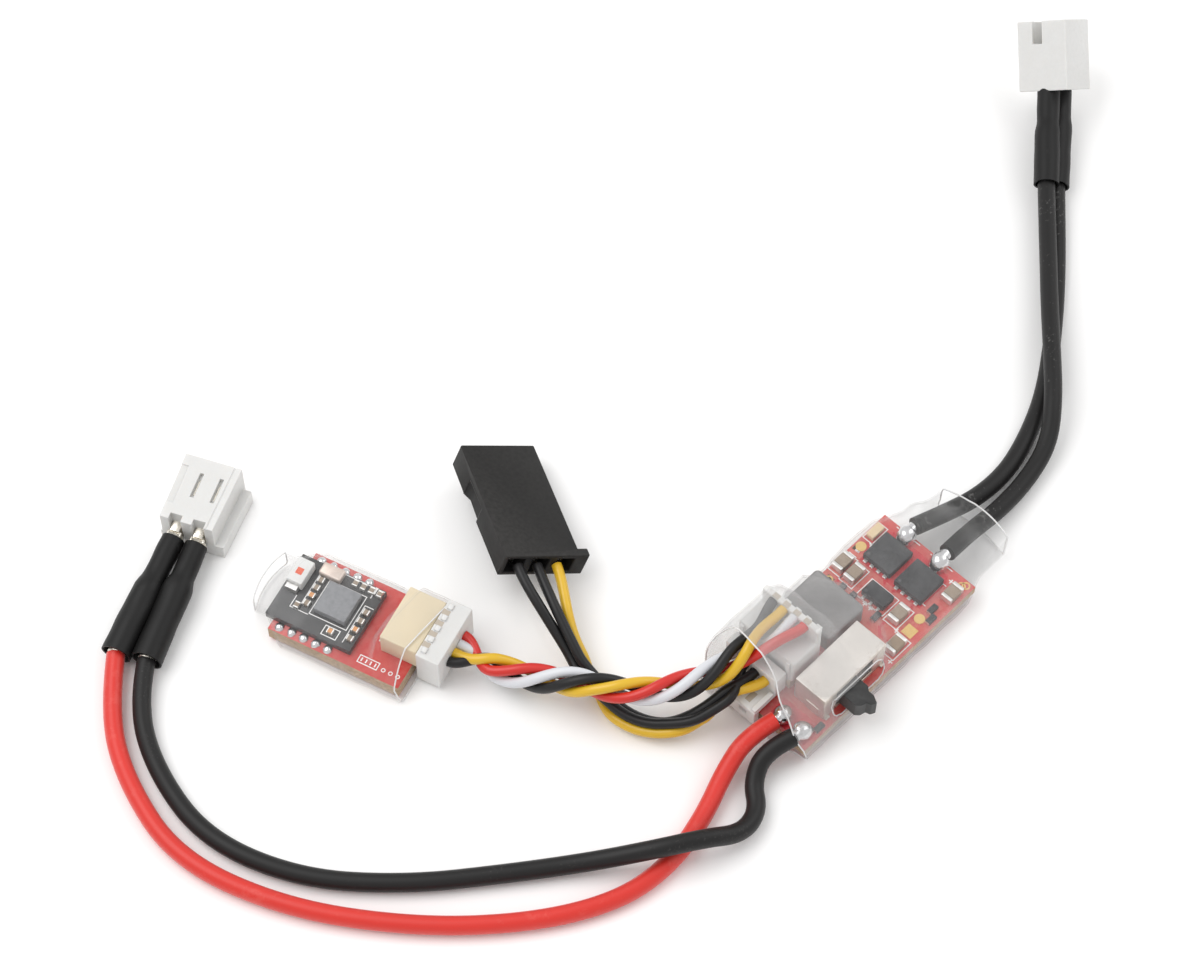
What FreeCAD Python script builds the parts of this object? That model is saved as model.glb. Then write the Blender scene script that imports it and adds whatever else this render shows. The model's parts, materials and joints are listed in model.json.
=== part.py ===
import FreeCAD, Part
import Sketcher
import math
import os
import re

# A brushed-motor speed controller for small models, with its radio module and leads.
# Millimetres, +Z up. The origin is the middle of the flat underside of the main sleeve.
# +X runs along the main board from the battery end to the motor end, +Y away from the switch.

DIMENSIONS = {
    # main board
    "board_length": 23.5,
    "board_width": 11.2,
    "board_thick": 1.0,
    "board_low": 1.2,
    "via_bore": 0.8,
    # parts on the main board
    "fet_side": 3.3,
    "fet_thick": 0.85,
    "driver_length": 1.6,
    "driver_width": 2.65,
    "driver_thick": 0.8,
    "coil_length": 4.9,
    "coil_width": 5.9,
    "coil_thick": 2.3,
    "cap_length": 2.0,
    "cap_width": 1.2,
    "cap_thick": 0.85,
    "cap_end": 0.4,
    "chip_length": 1.1,
    "chip_width": 0.55,
    "chip_thick": 0.4,
    "led_length": 1.7,
    "led_width": 0.85,
    "led_thick": 0.6,
    "pad_thick": 0.06,
    "pad_radius": 0.55,
    "brain_side": 4.0,
    "brain_thick": 0.8,
    "regulator_length": 2.9,
    "regulator_width": 1.6,
    "joint_radius": 0.9,
    "joint_crown": 0.45,
    "joint_height": 1.25,
    "core_radius": 0.45,
    # slide switch
    "can_length": 8.3,
    "can_width": 3.6,
    "can_height": 3.4,
    "can_wall": 0.25,
    "can_middle": -4.15,
    "can_back": -1.1,
    "slot_length": 4.9,
    "slot_height": 2.5,
    "base_thick": 0.6,
    "carriage_length": 3.6,
    "carriage_width": 1.3,
    "carriage_height": 2.4,
    "stem_length": 2.3,
    "stem_height": 2.0,
    "stem_reach": 3.6,
    "lever_rest": -5.15,
    "leg_side": 0.5,
    "wiper_length": 2.6,
    "wiper_thick": 0.5,
    # four-pin and three-pin connectors on the main board
    "pin_pitch": 1.25,
    "pin_side": 0.4,
    "plug_width": 6.8,
    "small_plug_width": 6.2,
    "sleeve_wall": 0.2,
    # radio module
    "module_length": 13.7,
    "module_width": 9.0,
    "module_thick": 1.6,
    "module_low": 0.3,
    "radio_length": 8.9,
    "radio_width": 7.0,
    "radio_thick": 0.8,
    "radio_chip_side": 3.3,
    "radio_chip_thick": 0.8,
    "header_length": 3.8,
    "header_width": 5.9,
    "header_height": 2.7,
    "tail_plug_length": 2.4,
    "tail_plug_width": 6.6,
    "tail_plug_height": 4.4,
    # wires and the connectors at their ends
    "power_wire": 1.75,
    "signal_bundle": 2.1,
    "module_bundle": 2.4,
    "shrink_small": 2.2,
    "shrink_large": 2.5,
    "shrink_bore": 1.9,
    "barrel_radius": 0.85,
    "power_pitch": 2.3,
    "power_width": 5.9,
    "power_height": 4.6,
    "battery_length": 6.5,
    "motor_length": 8.2,
    "power_cavity": 1.8,
    "servo_length": 14.0,
    "servo_width": 7.7,
    "servo_height": 2.6,
    "servo_pitch": 2.54,
    "servo_cavity": 1.7,
}

VOLUME_SLACK = 0.01
ARC_SHARE = 0.45
LOFT_OVERRUN = 0.01
STEP_SLOPE = 0.6

doc = FreeCAD.newDocument("speed_controller")
sheet = doc.addObject("Spreadsheet::Sheet", "Sizes")
for row, (word, value) in enumerate(DIMENSIONS.items(), start=1):
    sheet.set(f"A{row}", word)
    sheet.set(f"B{row}", str(value))
    sheet.setAlias(f"B{row}", word)
doc.recompute()

nodes = []


def size(word):
    return float(sheet.get(word))


def tied(text):
    """An expression in which each dimension's word stands for its cell in the sheet."""
    def cell(hit):
        word = hit.group()
        return "Sizes." + word if word in DIMENSIONS else word

    return re.sub(r"[a-z_]+", cell, text)


def bind(item, **rules):
    for name, rule in rules.items():
        item.setExpression(name.replace("_", "."), tied(str(rule)))


def keep(item, label, station=None):
    """Name a finished sub-part, stand it at its station and list it for export."""
    item.Label = label
    if station is not None:
        item.Placement = station
    nodes.append(item)
    return item


def block(length, width, height, x, y, z):
    """A box of the given sizes, centred on x and y, with its underside at z."""
    box = doc.addObject("Part::Box", "Block")
    bind(box, Length=length, Width=width, Height=height)
    bind(box, Placement_Base_x=f"{x} - ({length}) / 2", Placement_Base_y=f"{y} - ({width}) / 2")
    bind(box, Placement_Base_z=z)
    return box


def post(radius, height, x, y, z, crown=None):
    """An upright cylinder, or a cone when its crown has a radius of its own."""
    if crown is None:
        item = doc.addObject("Part::Cylinder", "Post")
        bind(item, Radius=radius)
    else:
        item = doc.addObject("Part::Cone", "Post")
        bind(item, Radius1=radius, Radius2=crown)
    bind(item, Height=height, Placement_Base_x=x, Placement_Base_y=y, Placement_Base_z=z)
    return item


def rod(radius, length, start, direction, far_radius=None):
    """A cylinder or cone from a start point along a direction."""
    if far_radius is None:
        item = doc.addObject("Part::Cylinder", "Rod")
        bind(item, Radius=radius)
    else:
        item = doc.addObject("Part::Cone", "Rod")
        bind(item, Radius1=radius, Radius2=far_radius)
    bind(item, Height=length)
    turn = FreeCAD.Rotation(FreeCAD.Vector(0, 0, 1), FreeCAD.Vector(*direction))
    item.Placement = FreeCAD.Placement(FreeCAD.Vector(*start), turn)
    return item


def group(*solids):
    """Separate solids that share one node."""
    item = doc.addObject("Part::Compound", "Group")
    item.Links = list(solids)
    return item


def fused(*solids):
    item = doc.addObject("Part::MultiFuse", "Fused")
    item.Shapes = list(solids)
    return item


def carved(base, *tools):
    """A base with the tools' shapes taken out of it."""
    item = doc.addObject("Part::Cut", "Carved")
    item.Base = base
    item.Tool = tools[0] if len(tools) == 1 else fused(*tools)
    return item


def origin_plane(body, role):
    return next(feature for feature in body.Origin.OriginFeatures if feature.Role == role)


def sketch_rectangles(body, name, height, rectangles):
    """A sketch parallel to the body's XY plane: each rectangle is a width, a depth and its centre."""
    sketch = body.newObject("Sketcher::SketchObject", name)
    sketch.AttachmentSupport = (origin_plane(body, "XY_Plane"), [""])
    sketch.MapMode = "FlatFace"
    sketch.setExpression("AttachmentOffset.Base.z", tied(str(height)))
    corners = [FreeCAD.Vector(x, y, 0) for x, y in ((0, 0), (1, 0), (1, 1), (0, 1))]
    for width, depth, x, y in rectangles:
        first = sketch.GeometryCount
        for side in range(4):
            sketch.addGeometry(Part.LineSegment(corners[side], corners[(side + 1) % 4]), False)
        for side in range(4):
            sketch.addConstraint(Sketcher.Constraint("Coincident", first + side, 2, first + (side + 1) % 4, 1))
        for side in (0, 2):
            sketch.addConstraint(Sketcher.Constraint("Horizontal", first + side))
            sketch.addConstraint(Sketcher.Constraint("Vertical", first + side + 1))
        rules = (
            ("DistanceX", (first, 1, first, 2), f"{width}"),
            ("DistanceY", (first + 1, 1, first + 1, 2), f"{depth}"),
            ("DistanceX", (-1, 1, first, 1), f"{x} - ({width}) / 2"),
            ("DistanceY", (-1, 1, first, 1), f"{y} - ({depth}) / 2"),
        )
        for kind, points, rule in rules:
            number = sketch.addConstraint(Sketcher.Constraint(kind, *points, 1.0))
            sketch.setExpression(f"Constraints[{number}]", tied(rule))
    doc.recompute()
    return sketch


def pad(body, sketch, length):
    item = body.newObject("PartDesign::Pad", "Pad")
    item.Profile = sketch
    item.setExpression("Length", tied(str(length)))
    doc.recompute()
    return item


def pocket(body, sketch, depth, upwards=False):
    """Cut down from the sketch, or up from it, and check that material is gone."""
    before = body.Shape.Volume
    item = body.newObject("PartDesign::Pocket", "Pocket")
    item.Profile = sketch
    item.Reversed = upwards
    item.setExpression("Length", tied(str(depth)))
    doc.recompute()
    if body.Shape.Volume >= before:
        raise RuntimeError(f"{body.Label}: {sketch.Name} cuts nothing")
    return item


def new_body(name):
    return doc.addObject("PartDesign::Body", name)


def facing(place, direction):
    """A station whose local Z points along a level direction, with local Y up."""
    forward = FreeCAD.Vector(*direction).normalize()
    upward = FreeCAD.Vector(0, 0, 1)
    turn = FreeCAD.Rotation(upward.cross(forward), upward, forward, "ZYX")
    return FreeCAD.Placement(FreeCAD.Vector(*place), turn)


def path_wire(points):
    """Straight runs joined by tangent arcs; each arc is as large as its two runs allow."""
    places = [FreeCAD.Vector(*point) for point in points]
    start = places[0]
    edges = []
    radii = []
    for before, corner, after in zip(places, places[1:], places[2:]):
        inward = (corner - before).normalize()
        onward = (after - corner).normalize()
        half_turn = inward.getAngle(onward) / 2
        reach = ARC_SHARE * min((corner - before).Length, (after - corner).Length)
        radius = reach / math.tan(half_turn)
        arc_start = corner - inward * reach
        arc_end = corner + onward * reach
        sagitta = radius * (1 / math.cos(half_turn) - 1)
        middle = corner + (onward - inward).normalize() * sagitta
        edges.append(Part.LineSegment(start, arc_start).toShape())
        edges.append(Part.Arc(arc_start, middle, arc_end).toShape())
        radii.append(radius)
        start = arc_end
    edges.append(Part.LineSegment(start, places[-1]).toShape())
    return Part.Wire(edges), radii


def cord(label, diameter, points):
    """A round tube swept along a route."""
    wire, radii = path_wire(points)
    path = doc.addObject("Part::Feature", label + "_path")
    path.Shape = wire
    ring = doc.addObject("Part::Circle", label + "_ring")
    ring.setExpression("Radius", tied(f"{diameter} / 2"))
    start = FreeCAD.Vector(*points[0])
    outward = FreeCAD.Vector(*points[1]) - start
    ring.Placement = FreeCAD.Placement(start, FreeCAD.Rotation(FreeCAD.Vector(0, 0, 1), outward))
    doc.recompute()
    tube = doc.addObject("Part::Sweep", "Tube")
    tube.Sections = [ring]
    tube.Spine = (path, [f"Edge{number}" for number in range(1, len(wire.Edges) + 1)])
    tube.Solid = True
    tube.Frenet = False
    doc.recompute()
    expected = math.pi * size(diameter) ** 2 / 4 * wire.Length
    share = tube.Shape.Volume / expected
    print(f"{label}: length {wire.Length:.1f}, tightest radius {min(radii):.1f}, volume share {share:.4f}")
    if abs(share - 1) > VOLUME_SLACK:
        raise RuntimeError(f"{label}: the tube's volume doesn't match its length")
    return keep(tube, label)


def draped_tube(sections, wall, corner):
    """A thin tube stretched over what it holds, ruled between sections across X.

    Each section is x, left side, right side, underside, top on the left, top on the right
    and the place where the top steps from one height to the other. The underside is one face.
    """
    def ring(section, inset, sink=0):
        x, left, right, low, top_left, top_right, step = section
        left += inset
        right -= inset
        low += inset - sink
        top_left -= inset
        top_right -= inset
        outline = [
            (left + corner, low),
            (right - corner, low),
            (right, low + corner),
            (right, top_right - corner),
            (right - corner, top_right),
            (step - inset, top_right),
            (step - STEP_SLOPE, top_left),
            (left + corner, top_left),
            (left, top_left - corner),
            (left, low + corner),
        ]
        points = [FreeCAD.Vector(x, y, z) for y, z in outline]
        return Part.makePolygon(points + points[:1])

    outer = Part.makeLoft([ring(section, 0, LOFT_OVERRUN) for section in sections], True, True)
    reach = abs(sections[0][0]) + abs(sections[-1][0])
    ground = Part.makeBox(2 * reach, 2 * reach, reach, FreeCAD.Vector(-reach, -reach, -reach))
    outer = outer.cut(ground)
    inner_sections = list(sections)
    first = sections[0]
    last = sections[-1]
    inner_sections[0] = (first[0] - LOFT_OVERRUN,) + first[1:]
    inner_sections[-1] = (last[0] + LOFT_OVERRUN,) + last[1:]
    inner = Part.makeLoft([ring(section, wall) for section in inner_sections], True, True)
    return outer.cut(inner)


# Main board

board_top = "(board_low + board_thick)"

board = new_body("esc_board")
board_outline = [("board_length", "board_width", 0, 0)]
pad(board, sketch_rectangles(board, "board_outline", "board_low", board_outline), "board_thick")
vias = [("via_bore", "via_bore", x, y) for x, y in ((5.6, -4.1), (7.3, 5.0), (2.9, 4.7))]
pocket(board, sketch_rectangles(board, "board_vias", board_top, vias), "board_thick")
keep(board, "esc_board")

fet_places = ((8.45, 2.35), (8.3, -1.6))
fets = [block("fet_side", "fet_side", "fet_thick", x, y, board_top) for x, y in fet_places]
keep(group(*fets), "power_transistors")

keep(block("driver_length", "driver_width", "driver_thick", 4.6, 0.2, board_top), "gate_driver_chip")
keep(block("brain_side", "brain_side", "brain_thick", 1.0, 0, "board_low - brain_thick"), "controller_chip")
regulator = block("regulator_length", "regulator_width", "brain_thick", -4.6, 2.4, "board_low - brain_thick")
keep(regulator, "voltage_regulator")

coil = doc.addObject("Part::Fillet", "Coil")
coil.Base = block("coil_length", "coil_width", "coil_thick", -0.4, 2.55, board_top)
doc.recompute()
upright = [
    number for number, edge in enumerate(coil.Base.Shape.Edges, start=1)
    if abs(edge.tangentAt(edge.FirstParameter).z) > 0.9
]
coil_corner = 0.5
coil.Edges = [(number, coil_corner, coil_corner) for number in upright]
keep(coil, "power_inductor")

cap_places = ((5.0, 4.85), (4.85, 3.3), (9.55, -4.6), (4.5, -2.5), (1.9, -4.4))
cap_core = "cap_length - 2 * cap_end"
cap_bodies = [block(cap_core, "cap_width", "cap_thick", x, y, board_top) for x, y in cap_places]
keep(group(*cap_bodies), "capacitor_bodies")
ends = []
for x, y in cap_places:
    for side in (-1, 1):
        end_x = f"{x} + {side} * (cap_length - cap_end) / 2"
        ends.append(block("cap_end", "cap_width", "cap_thick", end_x, y, board_top))
keep(group(*ends), "capacitor_ends")

chip_places = ((6.2, -4.95), (2.9, -1.1), (2.9, 1.9), (2.9, 3.2), (7.1, -4.35), (-9.2, -5.0))
chips = [block("chip_length", "chip_width", "chip_thick", x, y, board_top) for x, y in chip_places]
keep(group(*chips), "small_resistors")
keep(block("led_length", "led_width", "led_thick", 9.6, 4.9, board_top), "status_led")

pads = [
    post("pad_radius", "pad_thick", 4.0, -4.3, board_top),
    block("via_bore", "via_bore", "pad_thick", 7.6, 4.9, board_top),
    block("via_bore", "via_bore", "pad_thick", -0.6, -5.15, board_top),
]
keep(group(*pads), "test_pads")


def solder_joint(x, y, reach):
    """A domed solder joint with the tinned wire end that leaves it along X."""
    dome = post("joint_radius", "joint_height", x, y, board_top, crown="joint_crown")
    height = size("board_low") + size("board_thick") + size("joint_radius")
    tail = rod("core_radius", str(abs(reach)), (x, y, height), (math.copysign(1, reach), 0, 0))
    return fused(dome, tail)


motor_joints = ((11.05, 2.45), (11.05, -1.6))
battery_joints = ((-10.5, -1.9), (-10.5, -4.25))
keep(group(*[solder_joint(x, y, 1.2) for x, y in motor_joints]), "motor_solder_joints")
keep(group(*[solder_joint(x, y, -1.15) for x, y in battery_joints]), "battery_solder_joints")

# Slide switch

can_front = "(can_back - can_width)"
can_centre = "can_back - can_width / 2"
inner_length = "(can_length - 2 * can_wall)"
inner_height = "(can_height - 2 * can_wall)"
inner_floor = f"{board_top} + can_wall"
lever_height = f"{board_top} + can_height / 2"
clearance = 0.1

switch_can = carved(
    block("can_length", "can_width", "can_height", "can_middle", can_centre, board_top),
    block(inner_length, "can_width", inner_height, "can_middle", f"{can_centre} + can_wall", inner_floor),
    block("slot_length", 2, "slot_height", "can_middle", can_front, f"{lever_height} - slot_height / 2"),
)
keep(switch_can, "switch_can")

base_centre = "can_back - base_thick / 2"
keep(block(inner_length, "base_thick", inner_height, "can_middle", base_centre, inner_floor), "switch_base")

leg_places = (-2.5, 0, 2.5)
contacts = [
    block("leg_side", "can_wall", "carriage_height", f"can_middle + {step}",
          "can_back - base_thick - can_wall / 2", f"{lever_height} - carriage_height / 2")
    for step in leg_places
]
keep(group(*contacts), "switch_contacts")

carriage_centre = f"{can_front} + can_wall + {clearance} + carriage_width / 2"
carriage_low = f"{lever_height} - carriage_height / 2"
carriage = block(
    "carriage_length", "carriage_width", "carriage_height", "lever_rest", carriage_centre, carriage_low,
)
stem_centre = f"{carriage_centre} - (carriage_width + stem_reach - {clearance}) / 2"
stem_low = f"{lever_height} - stem_height / 2"
stem = block("stem_length", "stem_reach", "stem_height", "lever_rest", stem_centre, stem_low)
keep(fused(carriage, stem), "switch_lever")
wiper = block("wiper_length", "wiper_thick", "leg_side * 2", "lever_rest",
              f"{carriage_centre} + (carriage_width + wiper_thick) / 2", f"{lever_height} - leg_side")
keep(wiper, "switch_wiper")

# Connectors on the main board


def pin_row(count, x, middle, low, height):
    """Upright pins at the connector's pitch, in a row along Y."""
    places = [f"{middle} + ({step - (count - 1) / 2}) * pin_pitch" for step in range(count)]
    return group(*[block("pin_side", "pin_side", height, x, y, low) for y in places])


# The four-pin plug stands beside the coil. Its cable leaves a raised rib, towards the battery end.
four_middle = 2.75
four_x = -6.3
four_deep = 3.6
four_base = 1.6
four_low = f"({board_top} + {four_base})"
rib_thick = 0.7
rib_back = four_x + four_deep / 2 + 0.1
keep(block(four_deep, "plug_width - 0.6", four_base, four_x, four_middle, board_top), "board_header_four_pin")
keep(pin_row(4, four_x, four_middle, f"{board_top} + 0.3", 4.0), "board_header_four_pins")
four_body = block(four_deep, "plug_width", 3.3, four_x, four_middle, four_low)
four_rib = block(rib_thick, "plug_width", 5.3, rib_back - rib_thick / 2, four_middle, four_low)
keep(fused(four_body, four_rib), "module_cable_board_plug")

# The three-pin plug hangs over the battery end; its latching skirt has three windows.
three_middle = 2.9
three_low = f"({board_top} + 0.6)"
deck_thick = 0.4
deck_front = -12.6
deck_back = -8.45
wall_thick = 1.4
skirt_thick = 0.65
skirt_low = 1.0
keep(block(2.6, "small_plug_width - 0.8", 0.6, -10.0, three_middle, board_top), "board_header_three_pin")
keep(pin_row(3, -9.3, three_middle, f"{board_top} + 0.2", 2.6), "board_header_three_pins")
wall_height = 2.8
deck_middle = (deck_back + deck_front) / 2
deck = block(deck_back - deck_front, "small_plug_width", deck_thick, deck_middle, three_middle, three_low)
wall = block(wall_thick, "small_plug_width", wall_height, deck_back - wall_thick / 2, three_middle, three_low)
skirt = block(skirt_thick, "small_plug_width", f"{three_low} + {deck_thick} - {skirt_low}",
              deck_front + skirt_thick / 2, three_middle, skirt_low)
window_pitch = "pin_pitch * 1.3"
window_low = 1.9
window_x = deck_front + skirt_thick / 4
windows = [
    block(skirt_thick / 2, 0.9, 0.7, window_x, f"{three_middle} + {step} * {window_pitch}", window_low)
    for step in (-1, 0, 1)
]
keep(carved(fused(deck, wall, skirt), *windows), "servo_lead_board_plug")

# Main sleeve

# Each section: x, left side, right side, underside, top on the left, top on the right, step.
sleeve_sections = [
    (-13.2, -5.95, 6.4, 0.0, 4.4, 7.8, -1.0),
    (-9.4, -5.95, 6.5, 0.0, 5.2, 10.2, -0.9),
    (-8.6, -5.95, 6.6, 0.0, 6.3, 10.4, -0.9),
    (-3.9, -5.95, 6.6, 0.0, 6.3, 10.4, -0.9),
    (-2.9, -5.95, 6.2, 0.0, 6.3, 5.6, -0.5),
    (0.6, -5.95, 5.95, 0.0, 6.3, 5.3, -0.5),
    (2.4, -5.95, 5.95, 0.0, 5.3, 5.3, -0.5),
    (4.0, -5.95, 5.95, 0.0, 4.2, 4.2, -0.5),
    (12.4, -5.95, 5.95, 0.0, 4.1, 4.1, -0.5),
    (19.2, -4.6, 3.3, 0.15, 3.2, 3.2, -0.5),
]
sleeve_corner = 0.7
sleeve_tube = doc.addObject("Part::Feature", "SleeveTube")
sleeve_tube.Shape = draped_tube(sleeve_sections, size("sleeve_wall"), sleeve_corner)

# The mouth is trimmed on a slant: the top stops short of the underside.
mouth_trim = block(12, 30, 30, -6, 0, -15)
mouth_turn = FreeCAD.Rotation(FreeCAD.Vector(1, 0.0, 0), FreeCAD.Vector(1, 0.28, -0.2))
mouth_trim_group = group(mouth_trim)
mouth_trim_group.Placement = FreeCAD.Placement(FreeCAD.Vector(-11.3, -1.3, 3.0), mouth_turn)
lever_window = block(7.2, 1.6, 3.7, "can_middle", -5.9, f"{board_top} + 0.1")
keep(carved(sleeve_tube, mouth_trim_group, lever_window), "esc_sleeve")

# Radio module

# The module lies beside the main board. In its own frame +X runs towards its cable.
module_place = FreeCAD.Vector(-30.4, 33.2, 0)
module_station = FreeCAD.Placement(module_place, FreeCAD.Rotation(-73.2, 0, 0))
module_top = "(module_low + module_thick)"
radio_top = f"({module_top} + radio_thick)"
radio_x = -3.15


def on_module(item, label):
    return keep(group(item), label, module_station)


module_board = new_body("module_board")
module_outline = [("module_length", "module_width", 0, 0)]
module_sketch = sketch_rectangles(module_board, "module_outline", "module_low", module_outline)
pad(module_board, module_sketch, "module_thick")
keep(module_board, "module_board", module_station)
on_module(block("radio_length", "radio_width", "radio_thick", radio_x, 0, module_top), "radio_board")
on_module(block("radio_chip_side", "radio_chip_side", "radio_chip_thick", -2.0, 0.2, radio_top), "radio_chip")
on_module(block(1.6, 2.6, 1.2, -6.5, 1.3, radio_top), "chip_antenna")
on_module(block(2.3, 1.3, 0.8, -4.0, 2.75, radio_top), "crystal")

small_places = [(-1.6 + 0.85 * step, 2.85) for step in range(4)]
small_places += [(-4.6, y) for y in (-1.0, -0.1, 0.8, 1.7)]
small_places += [(0.75, y) for y in (-2.4, -1.4, -0.4, 0.6)]
small_places += [(-5.3, -1.6), (-1.2, -2.6)]
small_parts = [block(0.5, 0.55, 0.4, x, y, radio_top) for x, y in small_places]
on_module(group(*small_parts), "radio_small_parts")

edge_joints = [
    post(0.42, 0.55, -5.9 + 1.27 * step, f"{side} * (radio_width / 2 + 0.44)", module_top, crown=0.2)
    for step in range(5) for side in (-1, 1)
]
on_module(group(*edge_joints), "castellation_solder")

header_x = 5.45
header_middle = 1.2
module_header = block("header_length", "header_width", "header_height", header_x, header_middle, module_top)
on_module(module_header, "module_header")
pin_length = 3.4
pin_x = header_x + pin_length / 2
pin_low = f"{module_top} + 1.2"
module_pins = [
    block(pin_length, "pin_side", "pin_side", pin_x, f"{header_middle} + ({step}) * pin_pitch", pin_low)
    for step in (-1.5, -0.5, 0.5, 1.5)
]
on_module(group(*module_pins), "module_header_pins")

tail_x = 8.65
tail_low = 0.55
tail_body = block("tail_plug_length", "tail_plug_width", "tail_plug_height", tail_x, header_middle, tail_low)
teeth_x = f"{tail_x} - tail_plug_length / 4"
teeth_low = f"{tail_low} + tail_plug_height - 0.05"
tail_teeth = [
    block(0.5, 0.6, 0.3, teeth_x, f"{header_middle} + {step} * pin_pitch", teeth_low)
    for step in (-2, -1, 0, 1, 2)
]
on_module(fused(tail_body, *tail_teeth), "module_cable_plug")

# Each section: x, left side, right side, underside, top on the left, top on the right, step.
module_sections = [
    (-9.8, -3.0, 3.2, 0.15, 2.8, 2.8, 0.0),
    (-7.6, -4.9, 4.9, 0.0, 4.5, 4.5, 0.0),
    (1.0, -4.9, 4.9, 0.0, 4.5, 4.5, 0.0),
    (3.0, -4.9, 4.9, 0.0, 4.9, 5.0, -2.2),
    (7.3, -4.9, 4.9, 0.0, 4.9, 5.0, -2.2),
]
module_corner = 0.25
module_tube = doc.addObject("Part::Feature", "ModuleTube")
module_tube.Shape = draped_tube(module_sections, size("sleeve_wall"), module_corner)
module_trim = group(block(6, 20, 20, 3, 0, -10))
module_trim_turn = FreeCAD.Rotation(FreeCAD.Vector(1, 0, 0), FreeCAD.Vector(1, 0, 0.25))
module_trim.Placement = FreeCAD.Placement(FreeCAD.Vector(7.35, 0, 0), module_trim_turn)
keep(carved(module_tube, module_trim), "module_sleeve", module_station)

# Two-pin power connectors


def across(station, offset, depth):
    """The point in the frame at an offset across a connector and a depth behind its wire face."""
    return station.multVec(FreeCAD.Vector(offset, 0, -depth))


def power_connector(name, station, length, wire_ends, openings):
    """A two-pin connector, its contacts, and the shrink tubes that cover their crimps.

    Each opening is a name, the height it is cut down from, its depth and its rectangles.
    """
    body = new_body(name + "_connector")
    pad(body, sketch_rectangles(body, name + "_outline", 0, [("power_width", "power_height", 0, 0)]), length)
    cavities = [("power_cavity", "power_cavity", f"{side} * power_pitch / 2", 0) for side in (-1, 1)]
    for word, height, depth, rectangles in openings + [("cavities", length, length, cavities)]:
        pocket(body, sketch_rectangles(body, f"{name}_{word}", height, rectangles), depth)
    keep(body, name + "_connector", station)

    shrinks = []
    contacts = []
    for side, wire_end in zip((-1, 1), wire_ends):
        root = across(station, side * size("power_pitch") / 2, 0.02)
        axis = FreeCAD.Vector(*wire_end) - root
        span = str(axis.Length)
        cover = rod("shrink_small / 2", span, tuple(root), tuple(axis), "shrink_large / 2")
        bore = rod("shrink_bore / 2", f"{span} + 2", tuple(root - axis.normalize()), tuple(axis))
        shrinks.append(carved(cover, bore))
        barrel = rod("barrel_radius", span, tuple(root), tuple(axis))
        blade_x = f"{side} * power_pitch / 2"
        blade = group(block("power_cavity / 2", "power_cavity", f"{length} - 1.5", blade_x, 0, 0))
        blade.Placement = station
        contacts.append(group(barrel, blade))
    keep(group(*shrinks), name + "_shrink_tubes")
    keep(group(*contacts), name + "_contacts")


battery_ends = ((-46.6, 44.1, 1.6), (-48.1, 46.6, 1.6))
battery_station = facing((-35.6, 50.6, size("power_height") / 2), (0.9, 0.43, 0))
battery_slots = [
    ("power_cavity / 2", "power_height / 2", f"{side} * power_pitch / 2", "power_height / 2")
    for side in (-1, 1)
]
battery_openings = [("slots", "battery_length - 1.2", "battery_length - 3.4", battery_slots)]
power_connector("battery", battery_station, "battery_length", battery_ends, battery_openings)
motor_ends = ((52.9, 17.5, 1.5), (51.2, 19.6, 1.5))
motor_station = facing((59.3, 25.4, size("power_height") / 2), (0.707, 0.707, 0))
motor_openings = [
    ("mouth", "motor_length", "motor_length - 2.6", [("power_width - 1.2", "power_height - 1.2", 0, 0)]),
    ("notch", "motor_length", 1.6, [("power_width / 3", "power_height", 0, "power_height / 2")]),
]
power_connector("motor", motor_station, "motor_length", motor_ends, motor_openings)

# Servo lead's housing

servo_ends = [("servo_cavity", "servo_cavity", f"{step} * servo_pitch", 0) for step in (-1, 0, 1)]
servo_housing = new_body("servo_housing")
servo_outline = sketch_rectangles(servo_housing, "servo_outline", 0, [("servo_width", "servo_height", 0, 0)])
pad(servo_housing, servo_outline, "servo_length")
flange_outline = [("servo_width / 2 + 1", "servo_height", "servo_width / 4 + 0.5", 0)]
pad(servo_housing, sketch_rectangles(servo_housing, "servo_flange", 0, flange_outline), 0.9)
servo_sockets = sketch_rectangles(servo_housing, "servo_sockets", "servo_length", servo_ends)
pocket(servo_housing, servo_sockets, "servo_length")
servo_turn = FreeCAD.Rotation(-117, -8, -24)
servo_turn = servo_turn.multiply(FreeCAD.Rotation(FreeCAD.Vector(0, 1, 0), -90))
servo_turn = servo_turn.multiply(FreeCAD.Rotation(FreeCAD.Vector(0, 0, 1), 90))
servo_tail = FreeCAD.Vector(-15.7, 24.0, 4.75)
servo_station = FreeCAD.Placement(servo_tail, servo_turn)
keep(servo_housing, "servo_housing", servo_station)
servo_blades = [
    block("servo_cavity * 0.6", "servo_cavity", "servo_length * 0.7", f"{step} * servo_pitch", 0, 1.2)
    for step in (-1, 0, 1)
]
keep(group(*servo_blades), "servo_contacts", servo_station)

# Wires and cables

cord("battery_wire_red", "power_wire", [
    (-11.65, -1.9, 3.1), (-14.5, -1.1, 2.75), (-17.8, -1.5, 1.4), (-22.2, -3.1, 0.95), (-27.6, -4.2, 0.9),
    (-33.4, -3.4, 0.9), (-40.2, 0.6, 0.9), (-47.6, 7.6, 0.9), (-54.4, 17.2, 0.9), (-57.9, 27.6, 0.9),
    (-56.0, 36.4, 0.95), (-52.6, 42.6, 1.3), battery_ends[1],
])
cord("battery_wire_black", "power_wire", [
    (-11.65, -4.25, 3.1), (-14.3, -3.1, 2.5), (-16.9, -4.0, 1.2), (-18.6, -6.3, 1.1), (-21.4, -6.9, 1.5),
    (-24.6, -5.3, 3.1), (-28.4, -2.9, 3.1), (-32.6, 1.0, 1.1), (-38.4, 5.5, 0.9), (-45.4, 11.2, 0.9),
    (-51.6, 18.4, 0.9), (-54.8, 27.2, 0.9), (-53.4, 35.4, 0.95), (-50.2, 41.4, 1.3), battery_ends[0],
])
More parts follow.
